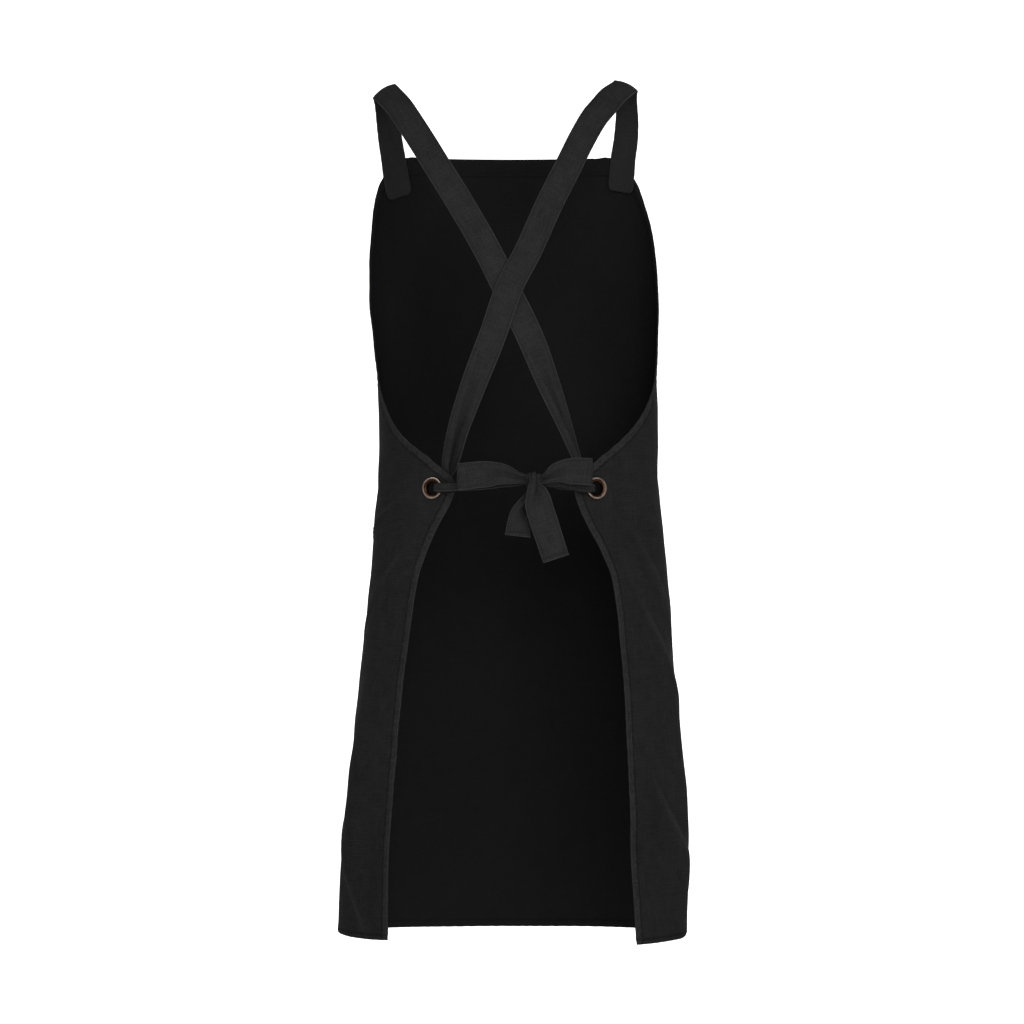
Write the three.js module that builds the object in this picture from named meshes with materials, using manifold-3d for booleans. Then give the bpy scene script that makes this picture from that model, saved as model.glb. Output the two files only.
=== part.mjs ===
import * as THREE from 'three';
import { mergeVertices } from 'three/addons/utils/BufferGeometryUtils.js';
import Module from 'manifold-3d';

// A cross back work apron in canvas, in the form that it has when worn: one cut panel wraps round
// the front and sides, and two flat straps cross on the back, pass through the eyelets in the
// panel's back corners and are tied in a bow.
// Millimetres, +Z up. The origin lies midway between the crests of the two straps, on their
// underside. The bib faces -Y, the bow +Y, and +X is the wearer's left.

// Driving dimensions
const PANEL_LENGTH = 845;
const BIB_DROP = 75;
const HALF_WIDTH = 190;
const HALF_DEPTH = 138;
const SHOULDER_HALF = 136;
const STRAP_WIDTH = 29;
const STRAP_THICKNESS = 1.3;
const CANVAS = 1.2;
const HEM_THICKNESS = 2.4;
const SIDE_HEM = 10;
const TOP_HEM = 18;
const BOTTOM_HEM = 7;
const EYELET_OUTER = 25;
const EYELET_HOLE = 14;
const EYELET_METAL = 0.8;
const KNOT_WIDTH = 18;
const KNOT_HEIGHT = 16;
const KNOT_DEPTH = 18;
const LOOP_LEFT = 72;
const LOOP_RIGHT = 53;
const LOOP_GAP = 8;
const TAB_LEFT = 43;
const TAB_RIGHT = 37;
const TAIL_LONG = 75;
const TAIL_SHORT = 51;
const CLEARANCE = 0.3;

// Shape of the worn panel. drop is a share of PANEL_LENGTH below the bib's top edge, left and
// right are shares of HALF_WIDTH, front and back are shares of HALF_DEPTH.
const SECTIONS = [
  { drop: 0.000, left: 0.863, right: 0.842, front: 0.565, back: 0.740 },
  { drop: 0.028, left: 0.868, right: 0.842, front: 0.623, back: 0.740 },
  { drop: 0.060, left: 0.869, right: 0.842, front: 0.681, back: 0.740 },
  { drop: 0.125, left: 0.861, right: 0.861, front: 0.775, back: 0.740 },
  { drop: 0.190, left: 0.832, right: 0.849, front: 0.819, back: 0.740 },
  { drop: 0.290, left: 0.769, right: 0.828, front: 0.783, back: 0.740 },
  { drop: 0.367, left: 0.758, right: 0.832, front: 0.732, back: 0.746 },
  { drop: 0.430, left: 0.775, right: 0.841, front: 0.717, back: 0.768 },
  { drop: 0.530, left: 0.805, right: 0.882, front: 0.754, back: 0.812 },
  { drop: 0.620, left: 0.842, right: 0.916, front: 0.804, back: 0.862 },
  { drop: 0.740, left: 0.900, right: 0.960, front: 0.877, back: 0.913 },
  { drop: 0.860, left: 0.954, right: 0.986, front: 0.942, back: 0.949 },
  { drop: 1.000, left: 0.997, right: 0.992, front: 1.000, back: 0.978 },
];

// Where the cloth ends round the body, in degrees from the middle of the front: up the bib's
// sides, along the armholes to the back corners, and down the back edges.
const CLOTH_EDGE = [
  { drop: 0.0000, left: 45.0, right: 43.0 },
  { drop: 0.0050, left: 50.0, right: 47.5 },
  { drop: 0.0140, left: 54.5, right: 52.0 },
  { drop: 0.0263, left: 59.0, right: 56.5 },
  { drop: 0.0430, left: 63.5, right: 61.5 },
  { drop: 0.0826, left: 69.0, right: 69.0 },
  { drop: 0.1346, left: 73.5, right: 75.5 },
  { drop: 0.1870, left: 78.5, right: 81.5 },
  { drop: 0.2390, left: 83.5, right: 88.0 },
  { drop: 0.2800, left: 91.0, right: 95.0 },
  { drop: 0.3120, left: 104.0, right: 107.5 },
  { drop: 0.3430, left: 115.3, right: 119.7 },
  { drop: 0.3740, left: 131.7, right: 135.0 },
  { drop: 0.3893, left: 141.3, right: 142.9 },
  { drop: 0.4045, left: 148.9, right: 149.6 },
  { drop: 0.4140, left: 153.2, right: 153.6 },
  { drop: 0.4200, left: 155.4, right: 155.5 },
  { drop: 0.4250, left: 156.1, right: 156.1 },
  { drop: 0.4310, left: 155.9, right: 155.9 },
  { drop: 0.4497, left: 153.6, right: 154.3 },
  { drop: 0.4798, left: 147.9, right: 150.1 },
  { drop: 0.5100, left: 143.1, right: 144.9 },
  { drop: 0.5453, left: 138.9, right: 140.6 },
  { drop: 0.6207, left: 136.3, right: 138.3 },
  { drop: 0.7210, left: 134.9, right: 137.8 },
  { drop: 0.8710, left: 134.2, right: 137.7 },
  { drop: 1.0000, left: 135.6, right: 135.4 },
];

// How far the bottom hem hangs below the panel's length, by the angle round the body, as shares
// of BOTTOM_HEM.
const HEM_DIP = [
  { angle: -136, dip: 0.35 },
  { angle: -108, dip: 0.30 },
  { angle: -86, dip: -0.45 },
  { angle: -60, dip: 0.25 },
  { angle: 0, dip: 0.80 },
  { angle: 60, dip: 0.30 },
  { angle: 90, dip: -0.55 },
  { angle: 122, dip: -0.20 },
  { angle: 136, dip: -0.35 },
];

// Folds in the worn panel. Each runs from its top to its bottom, at an angle round the body that
// drifts on the way. rise and width are shares of HALF_DEPTH, and a negative rise is a hollow.
const FOLDS = [
  { top: 0.500, bottom: 0.700, start: -104, end: -84, width: 0.090, rise: 0.040 },
  { top: 0.520, bottom: 0.720, start: -117, end: -98, width: 0.110, rise: -0.036 },
  { top: 0.630, bottom: 1.080, start: -104, end: -101, width: 0.150, rise: 0.048 },
  { top: 0.660, bottom: 1.060, start: -122, end: -118, width: 0.130, rise: -0.036 },
  { top: 0.720, bottom: 1.080, start: -72, end: -70, width: 0.200, rise: -0.036 },
  { top: 0.440, bottom: 0.560, start: -132, end: -116, width: 0.070, rise: -0.018 },
  { top: 0.440, bottom: 0.560, start: 132, end: 112, width: 0.070, rise: -0.018 },
  { top: 0.560, bottom: 1.060, start: 112, end: 104, width: 0.160, rise: 0.040 },
  { top: 0.700, bottom: 1.080, start: 88, end: 86, width: 0.110, rise: -0.032 },
  { top: 0.780, bottom: 1.080, start: 124, end: 121, width: 0.100, rise: -0.026 },
  { top: 0.560, bottom: 1.080, start: 46, end: 50, width: 0.260, rise: 0.036 },
  { top: 0.620, bottom: 1.080, start: 18, end: 20, width: 0.200, rise: -0.026 },
  { top: 0.600, bottom: 1.080, start: -16, end: -20, width: 0.240, rise: 0.032 },
  { top: 0.640, bottom: 1.080, start: -44, end: -47, width: 0.180, rise: -0.028 },
  { top: 0.340, bottom: 0.470, start: 74, end: 98, width: 0.120, rise: -0.026 },
  { top: 0.330, bottom: 0.460, start: -76, end: -98, width: 0.120, rise: -0.026 },
  { top: 0.060, bottom: 0.340, start: 40, end: 52, width: 0.220, rise: -0.022 },
  { top: 0.060, bottom: 0.340, start: -40, end: -52, width: 0.220, rise: -0.022 },
];

// The straps' way from the crest of the shoulder down the back, towards the opposite eyelet.
// across is a share of SHOULDER_HALF, positive towards the strap's own shoulder, out is a share
// of HALF_DEPTH behind the crest, and drop is a share of the height from the origin down to the
// eyelets. side, rear and up give the direction that the strap's outer face looks in.
const BACK_ROUTE = {
  left: [
    { across: 1.030, out: 0.000, drop: 0.015, side: 0.53, rear: 0.00, up: 0.85 },
    { across: 0.982, out: 0.138, drop: 0.032, side: 0.45, rear: 0.42, up: 0.79 },
    { across: 0.895, out: 0.268, drop: 0.065, side: 0.38, rear: 0.62, up: 0.69 },
    { across: 0.829, out: 0.362, drop: 0.097, side: 0.33, rear: 0.74, up: 0.58 },
    { across: 0.703, out: 0.500, drop: 0.160, side: 0.27, rear: 0.85, up: 0.45 },
    { across: 0.583, out: 0.594, drop: 0.222, side: 0.21, rear: 0.91, up: 0.35 },
    { across: 0.408, out: 0.688, drop: 0.311, side: 0.14, rear: 0.96, up: 0.24 },
    { across: 0.191, out: 0.742, drop: 0.429, side: 0.05, rear: 0.99, up: 0.12 },
    { across: 0.018, out: 0.760, drop: 0.538, side: 0.00, rear: 1.00, up: 0.03 },
    { across: -0.132, out: 0.757, drop: 0.632, side: -0.10, rear: 0.99, up: 0.00 },
    { across: -0.280, out: 0.738, drop: 0.747, side: -0.22, rear: 0.97, up: -0.05 },
    { across: -0.425, out: 0.690, drop: 0.862, side: -0.36, rear: 0.93, up: -0.06 },
  ],
  right: [
    { across: 0.914, out: 0.000, drop: 0.002, side: 0.42, rear: 0.00, up: 0.91 },
    { across: 0.806, out: 0.162, drop: 0.032, side: 0.38, rear: 0.44, up: 0.81 },
    { across: 0.722, out: 0.276, drop: 0.066, side: 0.34, rear: 0.64, up: 0.69 },
    { across: 0.645, out: 0.366, drop: 0.098, side: 0.30, rear: 0.75, up: 0.58 },
    { across: 0.536, out: 0.504, drop: 0.160, side: 0.24, rear: 0.86, up: 0.45 },
    { across: 0.440, out: 0.602, drop: 0.222, side: 0.19, rear: 0.91, up: 0.35 },
    { across: 0.298, out: 0.702, drop: 0.311, side: 0.13, rear: 0.96, up: 0.24 },
    { across: 0.121, out: 0.764, drop: 0.433, side: 0.04, rear: 0.99, up: 0.12 },
    { across: -0.019, out: 0.786, drop: 0.517, side: 0.00, rear: 1.00, up: 0.03 },
    { across: -0.148, out: 0.777, drop: 0.632, side: -0.10, rear: 0.99, up: 0.00 },
    { across: -0.310, out: 0.745, drop: 0.747, side: -0.22, rear: 0.97, up: -0.05 },
    { across: -0.432, out: 0.692, drop: 0.862, side: -0.36, rear: 0.93, up: -0.06 },
  ],
};

// The straps' way from the bib's inner face up to the crest. rise is a share of the height from
// the bib's top edge to the crest, across and over are shares of the way outward and back to it.
const FRONT_ROUTE = [
  { rise: 0.26, across: 0.26, over: 0.09 },
  { rise: 0.54, across: 0.54, over: 0.22 },
  { rise: 0.78, across: 0.78, over: 0.40 },
  { rise: 0.93, across: 0.92, over: 0.62 },
  { rise: 0.99, across: 0.98, over: 0.82 },
];

// A strap's way through the eyelet, by the eyelet's own directions: inward to the middle of the
// back, up, and out along the hole. The lengths are shares of EYELET_HOLE. faceIn and faceOut
// turn the strap's outer face. fold 1 is the strap folded in three, and width and press are how
// far the hole squeezes it across and through its layers.
const EYELET_ROUTE = [
  { inward: 1.02, up: 1.62, out: -0.84, faceIn: 0.0, faceOut: 1.0, fold: 0.74, width: 1.00, press: 1.00 },
  { inward: 0.84, up: 0.88, out: -0.78, faceIn: 0.0, faceOut: 1.0, fold: 1.00, width: 0.96, press: 0.92 },
  { inward: 0.62, up: 0.30, out: -0.66, faceIn: 0.1, faceOut: 1.0, fold: 1.00, width: 0.90, press: 0.80 },
  { inward: 0.40, up: 0.04, out: -0.52, faceIn: 0.5, faceOut: 0.9, fold: 1.00, width: 0.84, press: 0.66 },
  { inward: 0.255, up: 0.00, out: -0.28, faceIn: 1.0, faceOut: 0.1, fold: 1.00, width: 0.80, press: 0.60 },
  { inward: 0.250, up: 0.00, out: -0.03, faceIn: 1.0, faceOut: 0.0, fold: 1.00, width: 0.80, press: 0.60 },
  { inward: 0.280, up: 0.00, out: 0.18, faceIn: 1.0, faceOut: -0.2, fold: 1.00, width: 0.82, press: 0.60 },
  { inward: 0.46, up: 0.00, out: 0.35, faceIn: 0.5, faceOut: -0.9, fold: 1.00, width: 0.88, press: 0.66 },
  { inward: 0.80, up: 0.00, out: 0.38, faceIn: 0.0, faceOut: -1.0, fold: 1.00, width: 1.00, press: 0.72 },
  { inward: 1.40, up: 0.00, out: 0.44, faceIn: 0.0, faceOut: -1.0, fold: 0.96, width: 1.00, press: 0.86 },
];

// The tie from the eyelet to the knot. along is the share of that way, and rear is how far it
// stands out behind the straight line, as a share of HALF_DEPTH.
const TIE_ROUTE = [
  { along: 0.24, rear: 0.014, fold: 0.84 },
  { along: 0.50, rear: 0.010, fold: 0.80 },
  { along: 0.80, rear: 0.002, fold: 0.94 },
  { along: 1.00, rear: 0.000, fold: 1.00 },
];

// A loop of the bow, out along its rear layer, round its end and back along its front layer.
// out is a share of the loop's length, rise a share of STRAP_WIDTH, and gap a share of LOOP_GAP.
const LOOP_ROUTE = [
  { out: -0.06, rise: 0.00, gap: 0.06, fold: 0.16, width: 0.34 },
  { out: 0.10, rise: 0.08, gap: 0.07, fold: 0.20, width: 0.46 },
  { out: 0.34, rise: 0.22, gap: 0.10, fold: 0.20, width: 0.82 },
  { out: 0.62, rise: 0.20, gap: 0.02, fold: 0.10, width: 0.98 },
  { out: 0.88, rise: 0.13, gap: 0.02, fold: 0.00, width: 0.98 },
  { out: 0.985, rise: 0.10, gap: 0.28, fold: 0.00, width: 0.98 },
  { out: 0.985, rise: 0.10, gap: 0.72, fold: 0.00, width: 0.98 },
  { out: 0.88, rise: 0.13, gap: 0.98, fold: 0.00, width: 0.98 },
  { out: 0.62, rise: 0.20, gap: 1.00, fold: 0.10, width: 0.98 },
  { out: 0.34, rise: 0.22, gap: 0.98, fold: 0.20, width: 0.82 },
  { out: 0.10, rise: 0.08, gap: 0.54, fold: 0.20, width: 0.46 },
  { out: -0.06, rise: 0.00, gap: 0.54, fold: 0.16, width: 0.34 },
];

// The tie's free ends, down from the knot. down is a share of the end's length, across a share of
// STRAP_WIDTH towards the wearer's right, and rear a share of KNOT_DEPTH.
const TAIL_ROUTES = {
  long: [
    { down: -0.20, across: -0.05, rear: 0.30, fold: 1.00, width: 0.86 },
    { down: -0.12, across: -0.03, rear: 0.58, fold: 0.94, width: 0.88 },
    { down: -0.02, across: 0.04, rear: 0.69, fold: 0.60, width: 0.98 },
    { down: 0.10, across: 0.12, rear: 0.62, fold: 0.30, width: 1.00 },
    { down: 0.26, across: 0.20, rear: 0.48, fold: 0.08, width: 1.00 },
    { down: 0.48, across: 0.38, rear: 0.34, fold: 0.02, width: 1.00 },
    { down: 0.74, across: 0.58, rear: 0.20, fold: 0.00, width: 0.98 },
    { down: 1.00, across: 0.82, rear: 0.10, fold: 0.00, width: 0.98 },
  ],
  short: [
    { down: -0.10, across: 0.00, rear: -0.30, fold: 1.00, width: 0.70 },
    { down: 0.10, across: -0.10, rear: -0.28, fold: 0.80, width: 0.80 },
    { down: 0.35, across: -0.30, rear: -0.16, fold: 0.45, width: 0.85 },
    { down: 0.62, across: -0.51, rear: -0.18, fold: 0.14, width: 0.82 },
    { down: 1.00, across: -0.58, rear: -0.24, fold: 0.00, width: 0.94 },
  ],
};

// The sewn end of a strap on the bib's inner face, from its rounded tip up to the bib's top edge.
// share is of the tab's length.
const TAB_ROUTE = [
  { share: 1.00, width: 0.70 },
  { share: 0.91, width: 0.95 },
  { share: 0.78, width: 1.00 },
  { share: 0.44, width: 1.00 },
  { share: 0.02, width: 1.00 },
];

// The two sides. tab is the length of strap sewn to the bib, foot and head are its places at its
// tip and at the bib's edge as shares of the side's angle, bow is how far the strap above it bends
// outward, and lift the slope that the bow's loop rises at.
const SIDES = {
  left: { sign: 1, other: 'right', tab: TAB_LEFT, foot: 0.779, head: 0.850, bow: 0, lift: 0.01 },
  right: { sign: -1, other: 'left', tab: TAB_RIGHT, foot: 0.800, head: 0.828, bow: 3, lift: 0.12 },
};

// The share of the panel's length at which the side's angle is read for the tabs.
const TAB_SETTLE = 0.043;
const TAB_RADIUS = 0.72 * HALF_WIDTH;
const TAB_GAP = 2 * CLEARANCE;

// A strap starts to fold at this share of its way down to the eyelets, and gets this far.
const BACK_FOLD_START = 0.7;
const BACK_FOLD = 0.62;

// The bottom hem starts to dip at this share of the panel's length.
const DIP_START = 0.6;

// The corner that an eyelet is set in, and the eyelet's place below it and in from the back edge.
const CORNER_DROP = 0.425;
const EYELET_BELOW_CORNER = 4;
const EYELET_INSET = 28.3;

// Round an eyelet the cloth is flat and doubled out to these radii, and each fades over a band.
const FLAT_RADIUS = 0.62 * EYELET_OUTER;
const FLAT_BAND = 0.5 * EYELET_OUTER;
const DOUBLED_RADIUS = 0.72 * EYELET_OUTER;
const DOUBLED_BAND = 0.22 * EYELET_OUTER;
const EYELET_SIDES = 20;
const BARREL_OUTER = EYELET_HOLE / 2 + EYELET_METAL;

// The knot's place between the eyelets, as a share of the way from the left one to the right one,
// and how far it stands behind them and above them.
const KNOT_SHARE = 0.616;
const KNOT_REAR = 0.2 * HALF_DEPTH;
const KNOT_LIFT = 0.5 * KNOT_HEIGHT;
const KNOT_SQUARENESS = 0.55;
const KNOT_CREASE = 0.05;

// Where a tie goes into the knot, and where a loop comes out of it.
const TIE_INTO_KNOT = { side: 0.4 * KNOT_WIDTH, rear: -0.29 * KNOT_DEPTH, up: -0.06 * KNOT_HEIGHT };
const LOOP_REAR = 0.1 * KNOT_DEPTH;

const TAPE_BEND = 0.72 * STRAP_THICKNESS;
const PANEL_COLUMNS = 19;
const STRAP_STEPS = 25;
const LOOP_STEPS = 11;
const TAIL_STEPS = 5;
const RADIAN = Math.PI / 180;
const UP = new THREE.Vector3(0, 0, 1);

const wasm = await Module();
wasm.setup();

function mix(a, b, share) {
  return a + (b - a) * share;
}

function smoothStep(value) {
  const t = Math.min(Math.max(value, 0), 1);
  return t * t * (3 - 2 * t);
}

// A smooth reading of one column of a table, which never overshoots its rows.
function columnCurve(rows, along, column) {
  const x = rows.map((row) => row[along]);
  const y = rows.map((row) => row[column]);
  const slope = x.slice(1).map((value, i) => (y[i + 1] - y[i]) / (value - x[i]));
  const tangent = y.map((_, i) => {
    if (i === 0) return slope[0];
    if (i === slope.length) return slope[slope.length - 1];
    if (slope[i - 1] * slope[i] <= 0) return 0;
    return 2 / (1 / slope[i - 1] + 1 / slope[i]);
  });
  return (at) => {
    const last = x.length - 2;
    let i = 0;
    while (i < last && at > x[i + 1]) i += 1;
    const span = x[i + 1] - x[i];
    const t = Math.min(Math.max((at - x[i]) / span, 0), 1);
    const a = (1 + 2 * t) * (1 - t) * (1 - t) * y[i] + t * t * (3 - 2 * t) * y[i + 1];
    const b = t * (1 - t) * (1 - t) * tangent[i] - t * t * (1 - t) * tangent[i + 1];
    return a + b * span;
  };
}

const sectionColumn = {
  left: columnCurve(SECTIONS, 'drop', 'left'),
  right: columnCurve(SECTIONS, 'drop', 'right'),
  front: columnCurve(SECTIONS, 'drop', 'front'),
  back: columnCurve(SECTIONS, 'drop', 'back'),
};
const edgeColumn = {
  left: columnCurve(CLOTH_EDGE, 'drop', 'left'),
  right: columnCurve(CLOTH_EDGE, 'drop', 'right'),
};
const hemDip = columnCurve(HEM_DIP, 'angle', 'dip');

// Height of the outer surface above its smooth section, in millimetres, from the table of folds.
function foldRise(angle, drop) {
  return FOLDS.reduce((sum, fold) => {
    const along = (drop - fold.top) / (fold.bottom - fold.top);
    if (along <= 0 || along >= 1) return sum;
    const centre = mix(fold.start, fold.end, along);
    const width = fold.width * HALF_DEPTH;
    const across = ((angle - centre) * RADIAN * HALF_DEPTH) / width;
    const fade = Math.sin(Math.PI * along) ** 2;
    return sum + fold.rise * HALF_DEPTH * fade * Math.exp(-across * across);
  }, 0);
}

// A point of the panel's outer face, from the angle round the body and the share of its length.
function panelPoint(angle, drop) {
  const side = angle >= 0 ? 'left' : 'right';
  const level = Math.min(Math.max(drop, 0), 1);
  const turn = angle * RADIAN;
  const half = HALF_WIDTH * sectionColumn[side](level);
  const depth = HALF_DEPTH * sectionColumn[Math.cos(turn) > 0 ? 'front' : 'back'](level);
  const rise = foldRise(angle, drop);
  const dip = BOTTOM_HEM * hemDip(angle) * smoothStep((drop - DIP_START) / (1 - DIP_START));
  const x = (half + rise) * Math.sin(turn);
  const y = -(depth + rise) * Math.cos(turn);
  return new THREE.Vector3(x, y, -BIB_DROP - PANEL_LENGTH * drop - dip);
}

// The outward normal of the panel's outer face, from the points beside it.
function panelNormal(angle, drop) {
  const turnStep = 1.5;
  const dropStep = 0.004;
  const round = panelPoint(angle + turnStep, drop).sub(panelPoint(angle - turnStep, drop));
  const down = panelPoint(angle, drop + dropStep).sub(panelPoint(angle, drop - dropStep));
  return down.cross(round).normalize();
}

// An eyelet's centre on the outer face, and its own directions there.
function eyeletFrame(side) {
  const { sign } = SIDES[side];
  const drop = CORNER_DROP + EYELET_BELOW_CORNER / PANEL_LENGTH;
  const inset = EYELET_INSET / (HALF_WIDTH * sectionColumn[side](drop)) / RADIAN;
  const angle = sign * (edgeColumn[side](CORNER_DROP) - inset);
  const centre = panelPoint(angle, drop);
  const normal = panelNormal(angle, drop);
  const inward = new THREE.Vector3().crossVectors(UP, normal).multiplyScalar(sign);
  inward.normalize();
  return { side, sign, centre, normal, inward, up: UP.clone() };
}

const EYELETS = { left: eyeletFrame('left'), right: eyeletFrame('right') };

// The cloth lies flat under an eyelet: near its centre the outer face is its tangent plane.
function flattened(point) {
  for (const eyelet of Object.values(EYELETS)) {
    const offset = point.clone().sub(eyelet.centre);
    const height = offset.dot(eyelet.normal);
    const away = offset.addScaledVector(eyelet.normal, -height).length();
    const share = 1 - smoothStep((away - FLAT_RADIUS) / FLAT_BAND);
    if (share > 0 && Math.abs(height) < EYELET_OUTER) {
      return point.clone().addScaledVector(eyelet.normal, -height * share);
    }
  }
  return point;
}

// How far the cloth is doubled at a point for an eyelet near it, from 0 to 1.
function doubledRound(point) {
  return Object.values(EYELETS).reduce((most, eyelet) => {
    const away = point.distanceTo(eyelet.centre) - DOUBLED_RADIUS;
    return Math.max(most, 1 - smoothStep(away / DOUBLED_BAND));
  }, 0);
}

// Turns a grid of points on both faces of a sheet into one closed solid.
function closedSheet(outer, inner) {
  const rows = outer.length;
  const columns = outer[0].length;
  const positions = [];
  outer.forEach((row) => row.forEach((point) => positions.push(point.x, point.y, point.z)));
  inner.forEach((row) => row.forEach((point) => positions.push(point.x, point.y, point.z)));
  const shift = rows * columns;
  const indices = [];
  const quad = (a, b, c, d) => indices.push(a, b, c, a, c, d);
  for (let row = 0; row + 1 < rows; row += 1) {
    for (let column = 0; column + 1 < columns; column += 1) {
      const a = row * columns + column;
      const b = a + 1;
      const d = a + columns;
      const c = d + 1;
      quad(a, d, c, b);
      quad(shift + a, shift + b, shift + c, shift + d);
    }
  }
  for (let column = 0; column + 1 < columns; column += 1) {
    const bottom = (rows - 1) * columns + column;
    quad(column, column + 1, shift + column + 1, shift + column);
    quad(bottom + 1, bottom, shift + bottom, shift + bottom + 1);
  }
  for (let row = 0; row + 1 < rows; row += 1) {
    const first = row * columns;
    const last = first + columns - 1;
    quad(first + columns, first, shift + first, shift + first + columns);
    quad(last, last + columns, shift + last + columns, shift + last);
  }
  return closedGeometry(positions, indices);
}

// A geometry whose faces point out, whichever way its grid was wound.
function closedGeometry(positions, indices) {
  const geometry = new THREE.BufferGeometry();
  geometry.setAttribute('position', new THREE.Float32BufferAttribute(positions, 3));
  geometry.setIndex(indices);
  if (signedVolume(geometry) < 0) {
    for (let i = 0; i < indices.length; i += 3) {
      [indices[i], indices[i + 1]] = [indices[i + 1], indices[i]];
    }
    geometry.setIndex(indices);
  }
  return geometry;
}

function signedVolume(geometry) {
  const place = geometry.getAttribute('position');
  const index = geometry.getIndex();
  const corner = (i) => new THREE.Vector3().fromBufferAttribute(place, index.getX(i));
  let volume = 0;
  for (let i = 0; i < index.count; i += 3) {
    volume += corner(i).dot(corner(i + 1).cross(corner(i + 2)));
  }
  return volume / 6;
}

function toSolid(geometry) {
  const bare = new THREE.BufferGeometry();
  bare.setAttribute('position', geometry.getAttribute('position').clone());
  if (geometry.getIndex()) bare.setIndex(geometry.getIndex().clone());
  const merged = mergeVertices(bare, 1e-4);
  const mesh = new wasm.Mesh({
    numProp: 3,
    vertProperties: Float32Array.from(merged.getAttribute('position').array),
    triVerts: Uint32Array.from(merged.getIndex().array),
  });
  return new wasm.Manifold(mesh);
}

function fromSolid(solid) {
  const mesh = solid.getMesh();
  const geometry = new THREE.BufferGeometry();
  const numbers = Float32Array.from(mesh.vertProperties);
  geometry.setAttribute('position', new THREE.BufferAttribute(numbers, 3));
  geometry.setIndex(Array.from(mesh.triVerts));
  return geometry;
}

// Shares of the panel's length at which its grid has rows: close together at the rounded bib
// corners, along the armholes and at the eyelet corners, and wider down the skirt.
function panelRows() {
  const close = 1 / PANEL_LENGTH;
  const top = [0, 0.003, 0.0075, 0.0135];
  const hemmed = [TOP_HEM * close, (TOP_HEM + 1) * close];
  const bib = [0.036, 0.056, 0.086, 0.122, 0.160, 0.198, 0.234, 0.264];
  const armhole = [0.286, 0.305, 0.322, 0.339, 0.355, 0.370, 0.384, 0.397, 0.408];
  const corner = [0.416, 0.4215, 0.4265, 0.432, 0.440, 0.451, 0.465, 0.482, 0.502, 0.526];
  const skirt = Array.from({ length: 11 }, (_, i) => mix(0.555, 0.955, i / 10));
  const bottom = [1 - (BOTTOM_HEM + 1) * close, 1 - BOTTOM_HEM * close, 1];
  return [...top, ...hemmed, ...bib, ...armhole, ...corner, ...skirt, ...bottom];
}

// Angles of one row of the grid, from the right edge to the left one, with a column on each side
// of both hem lines. Where the edge runs aslant, the hem takes a longer stretch of the row.
function panelColumns(drop) {
  const insetAngle = (side, width) => {
    const step = 0.004;
    const from = Math.max(drop - step, 0);
    const to = Math.min(drop + step, 1);
    const radius = HALF_WIDTH * sectionColumn[side](drop);
    const run = (edgeColumn[side](to) - edgeColumn[side](from)) * RADIAN * radius;
    const slope = run / ((to - from) * PANEL_LENGTH);
    const stretch = Math.min(Math.sqrt(1 + slope * slope), 1.9);
    return (width * stretch) / radius / RADIAN;
  };
  const start = -edgeColumn.right(drop);
  const end = edgeColumn.left(drop);
  const hemStart = start + insetAngle('right', SIDE_HEM + 1);
  const hemEnd = end - insetAngle('left', SIDE_HEM + 1);
  const inside = Array.from({ length: PANEL_COLUMNS + 1 }, (_, i) => (
    mix(hemStart, hemEnd, i / PANEL_COLUMNS)
  ));
  return {
    angles: [
      start,
      start + insetAngle('right', SIDE_HEM),
      ...inside,
      end - insetAngle('left', SIDE_HEM),
      end,
    ],
    hemmed: (index, count) => index < 2 || index > count - 3,
  };
}

function panelGeometry() {
  const drops = panelRows();
  const topHem = (TOP_HEM + 0.5) / PANEL_LENGTH;
  const bottomHem = 1 - (BOTTOM_HEM + 0.5) / PANEL_LENGTH;
  const outer = [];
  const inner = [];
  drops.forEach((drop) => {
    const { angles, hemmed } = panelColumns(drop);
    const outerRow = [];
    const innerRow = [];
    angles.forEach((angle, index) => {
      const point = flattened(panelPoint(angle, drop));
      const normal = panelNormal(angle, drop);
      const inHem = hemmed(index, angles.length) || drop < topHem || drop > bottomHem;
      const doubled = inHem ? 1 : doubledRound(point);
      outerRow.push(point);
      innerRow.push(point.clone().addScaledVector(normal, -mix(CANVAS, HEM_THICKNESS, doubled)));
    });
    outer.push(outerRow);
    inner.push(innerRow);
  });
  return closedSheet(outer, inner);
}

// A lathe turned from Y up into an eyelet's own frame, its axis along the cloth's normal.
function turnedAtEyelet(profile, sides, eyelet) {
  const points = profile.map(([radius, height]) => new THREE.Vector2(radius, height));
  const geometry = new THREE.LatheGeometry(points, sides);
  const turn = new THREE.Quaternion().setFromUnitVectors(new THREE.Vector3(0, 1, 0), eyelet.normal);
  geometry.applyQuaternion(turn);
  geometry.translate(eyelet.centre.x, eyelet.centre.y, eyelet.centre.z);
  return geometry;
}

// What the eyelet takes out of the cloth: its hole, and a flat seat on the inner face.
function eyeletCut(eyelet) {
  const hole = BARREL_OUTER + CLEARANCE;
  const seat = EYELET_OUTER / 2 + 2 * CLEARANCE;
  const inside = -HEM_THICKNESS;
  const profile = [
    [0, EYELET_OUTER / 4],
    [seat, EYELET_OUTER / 4],
    [seat, CLEARANCE / 6],
    [hole, CLEARANCE / 6],
    [hole, inside],
    [seat, inside],
    [seat, -EYELET_OUTER / 4],
    [0, -EYELET_OUTER / 4],
  ];
  return toSolid(closedLathe(turnedAtEyelet(profile, EYELET_SIDES, eyelet)));
}

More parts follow.
